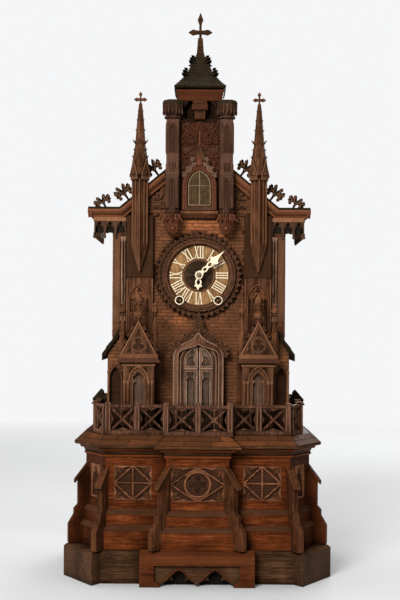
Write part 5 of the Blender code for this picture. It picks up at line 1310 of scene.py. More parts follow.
bm = bmesh.new()
for where, start, wide in (ARCADE_FRONT[:3], (ARCADE_SIDE[0], *FASCIA_SIDE)):
    plate(bm, [rectangle(0.5 * wide, 0.0031, start + 0.5 * wide, FASCIA_Z)], where, 0.0014, 0.0004, BURIED)
    trim(bm, where, [(start, FASCIA_BEAD_Z), (start + wide, FASCIA_BEAD_Z)], 0.0009, 6, 0.0008)
mirror(bm)
piece("wing_fascia", bm, MOULDING)

# Painted shade: black boards behind the arcades under the wings.
SOFFIT_X = 0.1556
SOFFIT_LOW = 0.606
SOFFIT_TOP = 0.6345
soffit = [(SOFFIT_X, SOFFIT_TOP), (SOFFIT_X, SOFFIT_LOW)]
soffit += [(SOFFIT_X + 0.0046 * k, SOFFIT_LOW + 0.003 * (k % 2)) for k in range(1, 7)]
soffit += [(0.1834, SOFFIT_TOP)]
dark_boards("wing_soffits", SHADE_BLACK, soffit, facing(-0.0236), 0.0015, 0.0002)

CRESTS = ((0.0745, 0.003, 0.0185, 0.032, 0.62), (RAKE_X - 0.015, 0.003, 0.0185, 0.032, 0.62),
          (0.169, 0.001, 0.0175, 0.0245, 0.5))
CREST_RIBS = (((0.0, -0.15), (0.0, 0.3), (0.22, 0.5), (0.55, 0.52), (0.76, 0.64)),
              ((0.3, 0.52), (0.34, 0.82)), ((0.5, 0.51), (0.58, 0.28)))
CREST_KNOB = [(0.0, -0.0036), (0.0026, -0.0034), (0.0035, 0.0), (0.0026, 0.0034), (0.0, 0.0036)]
CREST_Y = -0.0205
CREST_T = 0.007


def crest_rib(crest, rib, sign):
    """Outline of one rib of a crest leaf that leans outward on the roof."""
    x, lift, wide, tall, lean = crest
    points = []
    for u, v in rib:
        a = sign * wide * u
        b = tall * v
        points.append((x + a * math.cos(lean) + b * math.sin(lean),
                       roof_z(x) + lift + b * math.cos(lean) - a * math.sin(lean)))
    return points


bm = bmesh.new()
for crest in CRESTS:
    for rib in CREST_RIBS:
        for sign in SIGNS:
            line = crest_rib(crest, rib, sign)
            bead(bm, at_depth(line, CREST_Y), FRONT, 0.0011, 6)
            turned(bm, CREST_KNOB, facing(CREST_Y + 0.5 * CREST_T, *line[-1]), 10)
            bead(bm, at_depth(line, CREST_Y + CREST_T), Y, 0.0011, 6)
mirror(bm)
piece("roof_crest_ribs", bm, CARVING)

SPANDREL_LEAVES = ((0.0655, 0.652, 0.2, 0.017), (0.0655, 0.652, 1.1, 0.015), (0.0655, 0.652, -0.7, 0.015),
                   (0.073, 0.668, 0.3, 0.014), (0.073, 0.668, -0.8, 0.012), (0.073, 0.668, 1.5, 0.012),
                   (0.065, 0.676, 0.0, 0.016), (0.065, 0.676, -1.0, 0.01), (0.076, 0.652, 1.2, 0.01),
                   (0.064, 0.64, 2.4, 0.013), (0.072, 0.642, 1.9, 0.012), (0.065, 0.69, 0.5, 0.01))
bm = bmesh.new()
for x, z, angle, size in SPANDREL_LEAVES:
    leaf(bm, (x, WALL_Y - 0.0008, z), leaning(angle), FRONT, size, 0.55 * size, 0.005, 0.7, 3, 8)
mirror(bm)
piece("spandrel_leaves", bm, CARVING)


# Tower: cornice, roof tiles, turrets, foliage, window

FRIEZE_DEEPER = 0.0023
CORNICE_PROFILE = ((0.0378, 0.863), (0.0378, 0.844), (0.0384, 0.844), (0.0396, 0.8465), (0.0399, 0.849),
                   (0.0401, 0.853), (0.0412, 0.855), (0.0416, 0.8585), (0.0428, 0.86), (0.0432, 0.863))
BRACKET_STEPS = ((0.0128, 0.8375, 0.844, 0.007), (0.0141, 0.8265, 0.8375, 0.0085),
                 (0.0098, 0.81, 0.8265, 0.0055))
BRACKET_SUNK = 0.006
ROOF_LOW = 0.8633
ROOF_PROFILE = ((0.0456, 0.0065), (0.0365, 0.0165), (0.0245, 0.03), (0.0165, 0.048), (0.0085, 0.068))
TILE_T = (0.0011, 0.0018)
TILE_LAP = 1.25
TILE_UNDER = 0.0004


def square(half, z):
    """Rectangle round the tower, as much deeper than wide as its frieze is."""
    return [(u, TOWER_MID_Y + v, z) for u, v in
            ((half, -half - FRIEZE_DEEPER), (half, half + FRIEZE_DEEPER),
             (-half, half + FRIEZE_DEEPER), (-half, -half - FRIEZE_DEEPER))]


bm = bmesh.new()
skin(bm, [square(half, z) for half, z in CORNICE_PROFILE], True)
piece("tower_cornice", bm, CORNICE)
bm = bmesh.new()
for half, low, high, out in BRACKET_STEPS:
    plate(bm, [rectangle(half, 0.5 * (high - low), 0.0, 0.5 * (high + low))],
          facing(TOWER_Y + BRACKET_SUNK), out + BRACKET_SUNK, 0.0012)
    bead(bm, at_depth([(-half, low + 0.0012), (half, low + 0.0012)], TOWER_Y - out), FRONT, 0.0011)
piece("belfry_bracket", bm, BRACKET)

bm = bmesh.new()
for (h0, r0), (h1, r1) in zip(ROOF_PROFILE, ROOF_PROFILE[1:]):
    courses = max(2, round(math.hypot(h1 - h0, r1 - r0) / 0.0056))
    for k in range(courses):
        a = k / courses
        b = min(1.0, (k + TILE_LAP) / courses)
        low_h, low_z = h0 + (h1 - h0) * a, ROOF_LOW + r0 + (r1 - r0) * a
        top_h, top_z = h0 + (h1 - h0) * b, ROOF_LOW + r0 + (r1 - r0) * b
        tiles = max(2, round(2.0 * low_h / 0.008))
        for face in range(4):
            out = level(0.5 * math.pi * face)
            run = Vector((-out.y, out.x, 0.0))
            normal = (out * (r1 - r0) + Z * (h0 - h1)).normalized()
            for j in range(tiles):
                left = -1.0 + 2.0 * j / tiles + 0.02
                right = -1.0 + 2.0 * (j + 1) / tiles - 0.02
                spots = [Y * TOWER_MID_Y + out * h + run * (h * u) + Z * z
                         for h, u, z in ((low_h, left, low_z), (low_h, right, low_z),
                                         (top_h, right, top_z), (top_h, left, top_z))]
                thick = RNG.uniform(*TILE_T)
                lifts = (thick, thick, TILE_UNDER, TILE_UNDER)
                skin(bm, [[spot - normal * TILE_UNDER for spot in spots],
                          [spot + normal * lift for spot, lift in zip(spots, lifts)]])
piece("tower_roof_tiles", bm, SLATE)

bm = bmesh.new()
for half, rise, size in ((0.0225, 0.029, 0.0185), (0.01, 0.0545, 0.0185)):
    for sx, sy in CORNERS:
        out = Vector((sx, sy, 0.0)).normalized()
        spot = Vector((sx * half, TOWER_MID_Y + sy * half, ROOF_LOW + rise))
        for lift, share in ((0.0, 1.0), (0.32 * size, 0.85), (0.62 * size, 0.6)):
            crocket(bm, spot + Z * lift, Z * 0.8 + out * 0.6, out, size * share, 1.1)
piece("tower_roof_crockets", bm, SLATE)

OCTANT = math.pi / 8
APOTHEM = math.cos(OCTANT)
TURRET_FACES = (-135.0, -90.0, -45.0, 0.0, 45.0)
PIER = 0.0109
PIER_STAGES = ((PIER, 0.65, 0.709), (PIER + 0.001, 0.709, 0.7195), (PIER, 0.7195, 0.808))
PIER_LIGHTS = ((0.6512, 0.705), (0.748, 0.802))
LIGHT_HALF = 0.0054
LIGHT_RISE = 0.009
CAP_DROP = [(0.0, 0.8165), (0.0016, 0.8185), (0.0019, 0.8215), (0.0013, 0.8265), (0.0, 0.827)]
CAP_SLAB = ((0.017, 0.835), (0.0196, 0.8352), (0.0199, 0.8368), (0.0172, 0.842), (0.012, 0.8425))


def octagon_face(centre, radius, degrees):
    out = level(math.radians(degrees))
    return place(Vector((centre.x, centre.y, 0.0)) + out * (radius * APOTHEM), (-out.y, out.x, 0.0))


def octagon(centre, radius, z):
    return [(centre.x + u, centre.y + v, z) for u, v in ring(radius, 8, turn=OCTANT)]


bm = bmesh.new()
cap_bm = bmesh.new()
slab_bm = bmesh.new()
dark_bm = bmesh.new()
for half, z0, z1 in PIER_STAGES:
    skin(bm, [[(u, v, z) for u, v in rectangle(half, half, TURRET.x, TURRET.y)] for z in (z0, z1)])
for where in (facing(TURRET.y - PIER, TURRET.x), place((TURRET.x + PIER, TURRET.y, 0.0), Y)):
    for z0, z1 in PIER_LIGHTS:
        mid = 0.5 * (z0 + z1)
        foot = z0 + 0.002
        spring = z1 - 0.012
        light = lancet(0.0, LIGHT_HALF, foot, spring, LIGHT_RISE, 0.0013)
        plate(bm, [rectangle(PIER, mid - z0, 0.0, mid), light], where, 0.0013, 0.0004, -0.0003)
        trim(bm, where, archway(LIGHT_HALF, foot, spring, LIGHT_RISE, 6), 0.0007, 6, 0.001)
        for u in (-0.0024, 0.0024):
            trim(bm, where, [(u, foot), (u, z1 - 0.0095)], 0.0006, 6, 0.0004)
        ground = rectangle(0.0062, mid - z0 - 0.001, 0.0, mid - 0.0006)
        plate(dark_bm, [ground], where, 0.0004, 0.0001, BURIED)
for degrees in TURRET_FACES:
    cap = octagon_face(TURRET, 0.0184, degrees)
    arches = [lancet(u, 0.0019, 0.8275, 0.831, 0.003, 0.0, 5) for u in (-0.0033, 0.0033)]
    plate(cap_bm, [rectangle(0.007, 0.0043, 0.0, 0.8305)] + arches, cap, 0.0013, 0.0003, -0.0003)
    plate(dark_bm, [rectangle(0.0062, 0.0036, 0.0, 0.8306)], cap, 0.0004, 0.0001, BURIED)
for u, v in ring(0.0176, 8, turn=OCTANT) + ring(0.0166, 8):
    turned(cap_bm, CAP_DROP, upright(TURRET.x + u, TURRET.y + v), 8)
skin(slab_bm, [octagon(TURRET, radius, z) for radius, z in CAP_SLAB])
bead(cap_bm, octagon(TURRET, 0.0146, 0.812), Z, 0.0014, 8, True)
plate(bm, [rectangle(0.0016, 0.097, 0.0372, 0.747)], facing(TURRET.y + 0.004), 0.007, 0.0003)
for target in (bm, cap_bm, slab_bm, dark_bm):
    mirror(target)
piece("turret_piers", bm, TOWER_WOOD)
piece("turret_caps", cap_bm, TOWER_WOOD)
piece("turret_cap_slabs", slab_bm, SLATE)
piece("turret_panel_grounds", dark_bm, GROUND)

BOSS = Vector((TURRET.x - 0.0012, TURRET.y - 0.0105, 0.614))
BOSS_LEAVES = 10
BOSS_BUD = [(0.0, 0.001), (0.0034, 0.002), (0.0028, 0.0046), (0.0, 0.006)]
bm = bmesh.new()
for degrees in (-150.0, -120.0, -90.0, -60.0, -30.0, 0.0):
    out = level(math.radians(degrees))
    top = Vector((TURRET.x, TURRET.y, 0.639)) + out * 0.0128
    leaf(bm, top, -Z + out * 0.1, out, 0.046, 0.0096, 0.004, -0.85, 4, 11)
    leaf(bm, top - Z * 0.002, -Z + out * 0.25, out, 0.015, 0.008, 0.0045, 0.9, 2, 8)
for i in range(BOSS_LEAVES):
    along = dial_way(2.0 * math.pi * i / BOSS_LEAVES)[0]
    leaf(bm, BOSS, along + FRONT * 0.25, FRONT, 0.0138, 0.0082, 0.0042, -0.9, 2, 7)
turned(bm, BOSS_BUD, facing(BOSS.y, BOSS.x, BOSS.z), 10)
mirror(bm)
piece("turret_corbel_leaves", bm, FOLIAGE)


def scroll(bm, x, z, radius, start, spin, turns=1.35, steps=24):
    """Stem that winds in to an eye on the tower front, with leaves along both its sides."""
    path = []
    for i in range(steps + 1):
        reach = radius * (1.0 - 0.86 * i / steps)
        angle = start + spin * turns * 2.0 * math.pi * i / steps
        path.append(Vector((x + reach * math.cos(angle), TOWER_Y - 0.003, z + reach * math.sin(angle))))
    bead(bm, path, FRONT, 0.001, 6)
    for i in range(steps - 2):
        ahead = (path[i + 1] - path[i]).normalized()
        size = radius * (0.44 - 0.16 * i / steps)
        for side in (1.0, -1.0):
            away = ahead.cross(FRONT) * spin * side
            spot = path[i] + Y * 0.0016
            leaf(bm, spot, ahead * 0.7 + away, FRONT, size, 0.62 * size, 0.0036, 0.9, 2, 6)


def in_gable(x, z):
    """Whether a spot on the tower front is behind the window gable."""
    return abs(x) < 0.0335 - max(0.0, z - 0.702) * 0.55


SMALL_LEAVES = 150
bm = bmesh.new()
scroll(bm, 0.017, 0.776, 0.015, -0.6, 1.0)
scroll(bm, 0.0275, 0.747, 0.0082, 1.2, -1.0, 1.2, 18)
scroll(bm, 0.0235, 0.7975, 0.007, -1.9, 1.0, 1.1, 16)
for _ in range(SMALL_LEAVES):
    x = RNG.uniform(0.002, 0.0345)
    z = RNG.uniform(0.708, 0.804)
    size = RNG.uniform(0.0055, 0.0085)
    angle = RNG.uniform(-math.pi, math.pi)
    if not in_gable(x, z):
        leaf(bm, (x, TOWER_Y + 0.0002, z), leaning(angle), FRONT, size, 0.6 * size, 0.0026, 0.8, 2, 6)
mirror(bm)
bead(bm, [(0.0, TOWER_Y - 0.0025, 0.756), (0.0, TOWER_Y - 0.003, 0.798)], FRONT, 0.0014, 6)
for z, size in ((0.79, 0.015), (0.796, 0.0125)):
    sprig(bm, Vector((0.0, TOWER_Y - 0.0012, z)), Z, FRONT, size)
piece("tower_foliage", bm, FOLIAGE)

WINDOW_Y = -0.043
WINDOW_SPRING = 0.6905
WINDOW_BAND = [(-0.0034, -0.0004), (-0.0034, 0.0012), (-0.0012, 0.0026), (0.0006, 0.0012), (0.0026, 0.002),
               (0.0042, 0.0008), (0.0042, -0.0004)]
WINDOW_BUD = [(0.0, 0.724), (0.0062, 0.7265), (0.0078, 0.731), (0.007, 0.735), (0.0046, 0.7385),
              (0.003, 0.742), (0.0, 0.7445)]
WINDOW_HOOD = [(0.029, 0.705), (0.0152, 0.733), (0.0, 0.761)]
WINDOW_CROCKETS = ((0.015, 0.7165, 1.0, 0.015), (0.0085, 0.7255, 0.7, 0.011), (0.0235, 0.708, 0.9, 0.012),
                   (0.011, 0.735, 0.5, 0.0095))
bm = bmesh.new()
sweep(bm, WINDOW_BAND, at_depth(archway(0.0258, 0.6485, WINDOW_SPRING, 0.033, 9), WINDOW_Y), FRONT)
turned(bm, WINDOW_BUD, upright(0.0, WINDOW_Y + 0.002), 12)
piece("window_arch", bm, RED_PAINT)

bm = bmesh.new()
bead(bm, at_depth(whole(WINDOW_HOOD), WINDOW_Y), FRONT, 0.0013)
for z in (0.648, 0.6505):
    bead(bm, at_depth([(-0.0308, z), (0.0308, z)], WINDOW_Y), FRONT, 0.0012)
piece("window_mouldings", bm, TOWER_WOOD)

bm = bmesh.new()
for x, z, lean, size in WINDOW_CROCKETS:
    sprig(bm, Vector((x, WINDOW_Y - 0.0006, z)), leaning(lean), FRONT, size, (-0.8, 0.0, 0.8), 1.1)
mirror(bm)
piece("window_crockets", bm, LEAF_WOOD)

DOOR_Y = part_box("cuckoo_door")[0].y
DOOR_FOOT = 0.656
DOOR_RISE = 0.0262
bm = bmesh.new()
outline = archway(0.0194, DOOR_FOOT, WINDOW_SPRING, DOOR_RISE, 9)
bead(bm, at_depth(outline, DOOR_Y - 0.0002), FRONT, 0.0009, 6, True)
bead(bm, at_depth([(0.0, DOOR_FOOT), (0.0, WINDOW_SPRING + DOOR_RISE)], DOOR_Y), FRONT, 0.0008, 6)
bead(bm, at_depth([(-0.019, WINDOW_SPRING), (0.019, WINDOW_SPRING)], DOOR_Y), FRONT, 0.0006, 6)
piece("window_lattice", bm, CREAM, "cuckoo_door")
bm = bmesh.new()
for x in (-0.014, -0.0096, -0.005, 0.005, 0.0096, 0.014):
    bead(bm, at_depth([(x, DOOR_FOOT + 0.001), (x, 0.713 - 1.1 * abs(x))], DOOR_Y + 0.0001), FRONT, 0.0005, 6)
piece("window_glazing_bars", bm, DARK_UPRIGHT, "cuckoo_door")


# Spires: colonnette strips, dark plank, gablets, crockets, niche tracery

SPIRE_EAVE = 0.709
SHAFT_HIGH = SPIRE_EAVE - 0.006
SHAFT_LOW = 0.584
SHAFT_TIP = 0.538
GABLET = [(-0.0085, 0.7), (0.0085, 0.7), (0.0085, 0.708), (0.0, 0.732), (-0.0085, 0.708)]
GABLET_RAKE = [(-0.01, 0.706), (0.0, 0.7345), (0.01, 0.706)]
SPIRE_CROCKETS = ((0.74, 0.0128, 0.007), (0.753, 0.0108, 0.006), (0.768, 0.0112, 0.0075),
                  (0.788, 0.0076, 0.0055), (0.806, 0.006, 0.0048), (0.822, 0.0046, 0.0042))
UPWARD = 0.5 * math.pi
bm = bmesh.new()
arris_y = SPIRE.y - SPIRE_R - 0.0004
arris = [(arris_y, SHAFT_HIGH), (arris_y, SHAFT_LOW), (SPIRE.y - 0.0024, SHAFT_TIP)]
bead(bm, [(SPIRE.x, y, z) for y, z in arris], X, 0.0009, 8)
for sign in SIGNS:
    for aside, before, radius in ((SPIRE_R - 0.0022, 0.0022, 0.0014), (0.0075, 0.0078, 0.001)):
        x = SPIRE.x + sign * aside
        bead(bm, at_depth([(x, SHAFT_HIGH), (x, SHAFT_LOW + 0.003)], SPIRE.y - before), FRONT, radius, 8)
mirror(bm)
piece("spire_strips", bm, UPRIGHT)

plank = rectangle(0.0238, 0.0545, SPIRE.x, 0.582)
dark_boards("spire_planks", SPIRE_PLANK, plank, facing(SPIRE_BOARD_Y), 0.0022, 0.0006, BURIED)

bm = bmesh.new()
for degrees in (-135.0, -45.0, 45.0, 135.0):
    out = level(math.radians(degrees))
    where = place(Vector((SPIRE.x, SPIRE.y, 0.0)) + out * 0.0128, (-out.y, out.x, 0.0))
    plate(bm, [GABLET, foil(0.004, 3, 0.712, UPWARD, 6)], where, 0.003, 0.0006)
    bead(bm, on(where, GABLET_RAKE, 0.003), out, 0.0011, 6)
for z, radius, size in SPIRE_CROCKETS:
    for k in range(4):
        out = level(0.5 * math.pi * k)
        crocket(bm, Vector((SPIRE.x, SPIRE.y, z)) + out * (radius - 0.0012), Z, out, size)
mirror(bm)
piece("spire_gablets", bm, CARVING)

NICHE_FOOT = 0.467
NICHE_SPRING = 0.487
NICHE_LIGHT = [(0.016, NICHE_FOOT), (0.0118, NICHE_FOOT), (0.0118, 0.488), (0.0155, 0.488)]
bm = bmesh.new()
holes = [lancet(0.0, 0.0095, NICHE_FOOT, 0.485, 0.0135, 0.003), foil(0.0048, 3, 0.5045, UPWARD, 6)]
holes += [flipped(NICHE_LIGHT, sign) for sign in SIGNS]
niche = lancet(0.0, 0.0178, 0.4655, NICHE_SPRING, 0.0258)
plate(bm, [niche] + holes, facing(SPIRE_BOARD_Y + 0.004, SPIRE.x), 0.0026, 0.0005, BURIED)
face = facing(SPIRE_BOARD_Y, SPIRE.x)
trim(bm, face, archway(0.019, 0.433, NICHE_SPRING, 0.028, 8), 0.0015)
for u in (-0.0225, 0.0225):
    trim(bm, face, [(u, 0.4), (u, 0.524)], 0.0013)
mirror(bm)
piece("niche_tracery", bm, UPRIGHT)


# Pavilions: blind tracery, gable, crockets, flowers; aisles

PAV_FOOT = 0.266
PAV_SPRING = 0.343
PAV_RISE = 0.0235
TREFOIL = [(0.0102, PAV_FOOT), (0.0102, 0.3375), (0.0088, 0.3412), (0.006, 0.343), (0.0086, 0.3448),
           (0.0107, 0.348), (0.0109, 0.3515), (0.0092, 0.3552), (0.0056, 0.3582), (0.0022, 0.3598),
           (0.0, 0.3612)]
SPANDREL = [(0.015, 0.3668), (0.0058, 0.3668), (0.011, 0.3622), (0.0146, 0.356), (0.0152, 0.36)]
PAV_SHAFT = [(0.0, 0.256), (0.0027, 0.258), (0.0028, 0.261), (0.0017, 0.264), (0.0016, 0.337), (0.0026, 0.34),
             (0.0029, 0.344), (0.0, 0.345)]
SKIRT = [(-0.0042, 0.0116), (0.0036, -0.0006), (0.004, -0.0026), (-0.0004, -0.0026), (-0.0042, 0.0)]
SKIRT_Z = 0.379
BAND_HALF = 0.034
BAND_Y = -0.079
GABLE_Y = -0.076
GABLE_LOW = 0.3895
GABLE_TOP = 0.445
RAKE_HALF = 0.0318
RAKE_RISE = 0.059
RAKE_SECTION = [(-0.0014, -0.002), (0.0014, -0.002), (0.0014, 0.0022), (0.0, 0.0034), (-0.0014, 0.0022)]
ROSE_Z = 0.4073
GABLE_LIGHTS = ([(0.0118, 0.3935), (0.021, 0.3935), (0.0172, 0.4005), (0.0142, 0.4005)],
                [(0.015, 0.4035), (0.0168, 0.4035), (0.0118, 0.4145), (0.0106, 0.4145), (0.0138, 0.4085)])
FINIAL_Y = -0.071
AISLE_SHAFT = [(0.0, 0.254), (0.0032, 0.256), (0.0021, 0.261), (0.0021, 0.355), (0.0032, 0.359), (0.0, 0.361)]
AISLE_FOOT = 0.264
AISLE_SPRING = 0.346


def flower(bm, x, z, size, count, tip=True):
    """Leaf flower on a finial: a whorl of curling leaves under a bud."""
    for i in range(count):
        out = level(2.0 * math.pi * i / count - 0.5 * math.pi)
        spot = Vector((x, FINIAL_Y, z)) + out * 0.0014
        leaf(bm, spot, Z * 0.75 + out * 0.65, out, size, 0.62 * size, 0.26 * size, 1.7, 2, 7)
    if tip:
        bud = [(0.0, z), (0.22 * size, z + 0.3 * size), (0.3 * size, z + 0.7 * size), (0.0, z + 1.15 * size)]
        turned(bm, bud, upright(x, FINIAL_Y), 8)


bm = bmesh.new()
light_bm = bmesh.new()
leaf_bm = bmesh.new()
dark_bm = bmesh.new()
panel_bm = bmesh.new()
gable_bm = bmesh.new()
face = facing(PAV_Y, PAV_X)
holes = [lancet(0.0, 0.0151, PAV_FOOT, PAV_SPRING, PAV_RISE)] + [flipped(SPANDREL, sign) for sign in SIGNS]
plate(bm, [rectangle(0.0268, 0.0585, 0.0, 0.313)] + holes, face, 0.0026, 0.0006, BURIED)
plate(gable_bm, [rectangle(0.015, 0.006, 0.0, 0.3625)], face, 0.0006, 0.0001, -0.0001)
trefoil = whole(TREFOIL)
plate(bm, [lancet(0.0, 0.0152, 0.265, PAV_SPRING, PAV_RISE), trefoil], face, 0.0013, 0.0004, BURIED)
trim(light_bm, face, trefoil, 0.0007, 6, 0.0012)
panel = lancet(0.0, 0.0148, 0.2665, 0.332, 0.0258)
plate(panel_bm, [panel], facing(PAV_Y + 0.006, PAV_X), 0.0004, 0.0001, -0.0001)
for u in (-0.024, -0.018, 0.018, 0.024):
    turned(light_bm, PAV_SHAFT, upright(PAV_X + u, PAV_Y - 0.0032), 8)
trim(light_bm, face, arch(0.0165, PAV_SPRING + 0.001, PAV_RISE + 0.0015, 8), 0.0013, 8, 0.0024)
trim(light_bm, face, [(-0.0295, 0.3712), (0.0295, 0.3712)], 0.0016, 8, 0.003)

# Dark weathering between the pavilion and its gable
skirt_path = [(PAV_X - BAND_HALF, -0.04, SKIRT_Z), (PAV_X - BAND_HALF, BAND_Y, SKIRT_Z),
              (PAV_X + BAND_HALF, BAND_Y, SKIRT_Z), (PAV_X + BAND_HALF, -0.048, SKIRT_Z)]
sweep(dark_bm, SKIRT, skirt_path, Z)

gable = facing(GABLE_Y, PAV_X)
triangle = [(-0.0272, GABLE_LOW + 0.001), (0.0272, GABLE_LOW + 0.001), (0.0, GABLE_TOP - 0.003)]
plate(gable_bm, [triangle], gable, 0.0005, 0.0001, BURIED)
holes = [foil(0.0104, 3, ROSE_Z - 0.0006, UPWARD)]
holes += [flipped(light, sign) for sign in SIGNS for light in GABLE_LIGHTS]
holes.append(cusped([(-0.0044, 0.4225), (0.0044, 0.4225), (0.0, 0.4345)], 0.0009, (0, 1, 2), 3))
plate(bm, [triangle] + holes, gable, 0.0022, 0.0004, BURIED)
for radius in (0.0114, 0.0128):
    trim(bm, gable, [(u, v + ROSE_Z) for u, v in ring(radius, 24)], 0.0008, 6, 0.002, True)
rake = [(-RAKE_HALF, 0.387), (0.0, GABLE_TOP + 0.001), (RAKE_HALF, 0.387)]
sweep(light_bm, RAKE_SECTION, on(gable, rake), FRONT)
trim(light_bm, gable, [(-0.029, 0.3898), (0.029, 0.3898)], 0.001, 6, 0.0012)
slope = Vector((-RAKE_HALF, 0.0, RAKE_RISE)).normalized()
for sign in SIGNS:
    for t in (0.16, 0.36, 0.56, 0.76):
        spot = Vector((PAV_X + sign * RAKE_HALF * (1.0 - t), GABLE_Y + 0.002, 0.388 + RAKE_RISE * t))
        grows = Vector((sign * slope.z, 0.0, -slope.x)) + Vector((sign * slope.x, 0.0, slope.z)) * 0.8
        sprig(leaf_bm, spot, grows, FRONT, 0.0105, (-0.9, 0.0, 0.9), 1.0)
flower(leaf_bm, PAV_X, 0.454, 0.0125, 6, False)
flower(leaf_bm, PAV_X, 0.478, 0.011, 6)
for u in (-0.0285, 0.0285):
    flower(leaf_bm, PAV_X + u, 0.46, 0.0105, 6)
    for z, size in ((0.433, 0.005), (0.444, 0.0042)):
        flower(leaf_bm, PAV_X + u, z, size, 4, False)

trim(bm, facing(AISLE_Y, AISLE_MID_X), archway(0.011, AISLE_FOOT, AISLE_SPRING, 0.0232), 0.0013, 8, 0.0006)
turned(light_bm, AISLE_SHAFT, upright(0.1592, AISLE_Y - 0.0018), 8)
for y in FLANK_Y:
    rim = archway(0.0116, 0.282, 0.347, 0.021)
    bead(bm, [(AISLE_X + 0.0004, y + u, v) for u, v in rim], X, 0.0013)
hollow = lancet(AISLE_MID_X, 0.0105, AISLE_FOOT, AISLE_SPRING, 0.0222)
dark_boards("aisle_hollows", GROUND, hollow, facing(AISLE_Y + 0.007), 0.0012, 0.0002)
for target in (bm, light_bm, leaf_bm, dark_bm, panel_bm, gable_bm):
    mirror(target)
piece("pavilion_tracery", bm, CARVING)
piece("pavilion_mouldings", light_bm, MOULDING)
piece("pavilion_grounds", dark_bm, PLANK)
piece("pavilion_panels", panel_bm, PANEL_WOOD)
piece("gable_grounds", gable_bm, GROUND)
piece("pavilion_leaves", leaf_bm, CARVING)


# Portal: hood mouldings, crockets, finial, leaf tracery

PORTAL_FOOT = 0.255
HOOD_SPRING = 0.385
STILE = 0.0056
LIGHT_EDGE = 0.0234
PORTAL_SPRIGS = ((0.04, 0.3985, 0.48, 0.0225), (0.044, 0.3915, 1.25, 0.0155), (0.018, 0.4155, 0.25, 0.02),
                 (0.029, 0.4085, 0.45, 0.014), (0.005, 0.43, 0.9, 0.013))
LOW_LIGHT = [(STILE, 0.276), (LIGHT_EDGE, 0.276), (LIGHT_EDGE, 0.3425), (0.0196, 0.3492), (0.0232, 0.3588),
             (STILE, 0.3588), (0.0094, 0.3492), (STILE, 0.3425)]
HIGH_LIGHT = [(STILE, 0.369), (LIGHT_EDGE, 0.369)]
HIGH_LIGHT += [(u, v) for u, v in arch(0.0236, 0.378, 0.023, 9) if u > STILE + 0.001]
HIGH_LIGHT += [(STILE, 0.3955), (STILE, 0.3875), (0.0086, 0.3809), (STILE, 0.3745)]
LEAF_FRAME = [(0.0012, 0.257), (0.0258, 0.257)]
LEAF_FRAME += [(u, v) for u, v in arch(0.0258, 0.3765, 0.0262, 9) if u > 0.0015] + [(0.0012, 0.401)]


def bezier(p0, p1, p2, p3, steps=12):
    points = []
    for i in range(steps + 1):
        t = i / steps
        s = 1.0 - t
        points.append(tuple(s ** 3 * a + 3 * s * s * t * b + 3 * s * t * t * c + t ** 3 * d
                            for a, b, c, d in zip(p0, p1, p2, p3)))
    return points


outer = bezier((0.0435, HOOD_SPRING), (0.0415, 0.413), (0.012, 0.406), (0.0018, 0.426))
inner = bezier((0.0365, HOOD_SPRING), (0.0355, 0.405), (0.012, 0.397), (0.001, 0.408))
bm = bmesh.new()
for ogee, y, radius in ((outer, HOOD_Y, 0.0019), (inner, HOOD_Y + 0.0006, 0.0014)):
    bead(bm, at_depth(whole([(ogee[0][0], PORTAL_FOOT)] + ogee), y), FRONT, radius)
bead(bm, at_depth(archway(0.032, PORTAL_FOOT, 0.376, 0.0325, 10), PORTAL_Y - 0.0004), FRONT, 0.0014)
piece("portal_mouldings", bm, LEAF_WOOD)

bm = bmesh.new()
for u, v, lean, size in PORTAL_SPRIGS:
    sprig(bm, Vector((u, HOOD_Y + 0.003, v)), leaning(lean), FRONT, size, (-1.0, -0.4, 0.4, 1.0), 0.9)
mirror(bm)
sprig(bm, Vector((0.0, HOOD_Y + 0.001, 0.4395)), Z, FRONT, 0.016, (-1.15, -0.6, 0.6, 1.15), 0.9)
sprig(bm, Vector((0.0, HOOD_Y + 0.001, 0.448)), Z, FRONT, 0.0125, (-0.7, 0.0, 0.7), 0.7)
piece("portal_leaves", bm, CARVING)

for sign, side_name in zip(SIGNS, ("left", "right")):
    bm = bmesh.new()
    edge_bm = bmesh.new()
    outlines = [flipped(points, sign) for points in (LEAF_FRAME, LOW_LIGHT, HIGH_LIGHT)]
    plate(bm, outlines, facing(PORTAL_Y), 0.0016, 0.0005, BURIED)
    for outline in outlines[1:]:
        bead(edge_bm, at_depth(outline, PORTAL_Y - 0.0013), FRONT, 0.0006, 6, True)
    for u, top in ((0.0022, 0.396), (0.0212, 0.342)):
        stile = flipped([(u, 0.258), (u, top)], sign)
        bead(edge_bm, at_depth(stile, PORTAL_Y - 0.001), FRONT, 0.001, 6)
    rail = flipped([(0.0016, 0.364), (0.025, 0.364)], sign)
    bead(bm, at_depth(rail, PORTAL_Y - 0.0014), FRONT, 0.0017)
    piece("portal_tracery_" + side_name, bm, LEAF_WOOD, "leaf_" + side_name)
    piece("portal_edges_" + side_name, edge_bm, LEAF_EDGE, "leaf_" + side_name)


# Back door: raised border and panel line

DOOR_BACK_Y = 0.132
DOOR_BORDER = [(0.143, 0.268), (0.143, 0.644), (0.137, 0.644), (0.0, 0.756)]
bm = bmesh.new()
outline = whole(DOOR_BORDER)
bead(bm, at_depth(outline, DOOR_BACK_Y), Y, 0.0026, 8, True)
bead(bm, at_depth(inset(outline, 0.022), DOOR_BACK_Y), Y, 0.0016, 8, True)
piece("back_door_beads", bm, SPIRE_WOOD, "back_door")


# Roofs: courses of tiles on the slopes

TILE_WIDE = 0.0125
TILE_JOINT = 0.0003
ROOF_FRONT = -0.0125
ROOF_BACK = 0.1174
BEHIND_TOWER = (0.0395, 0.7385)


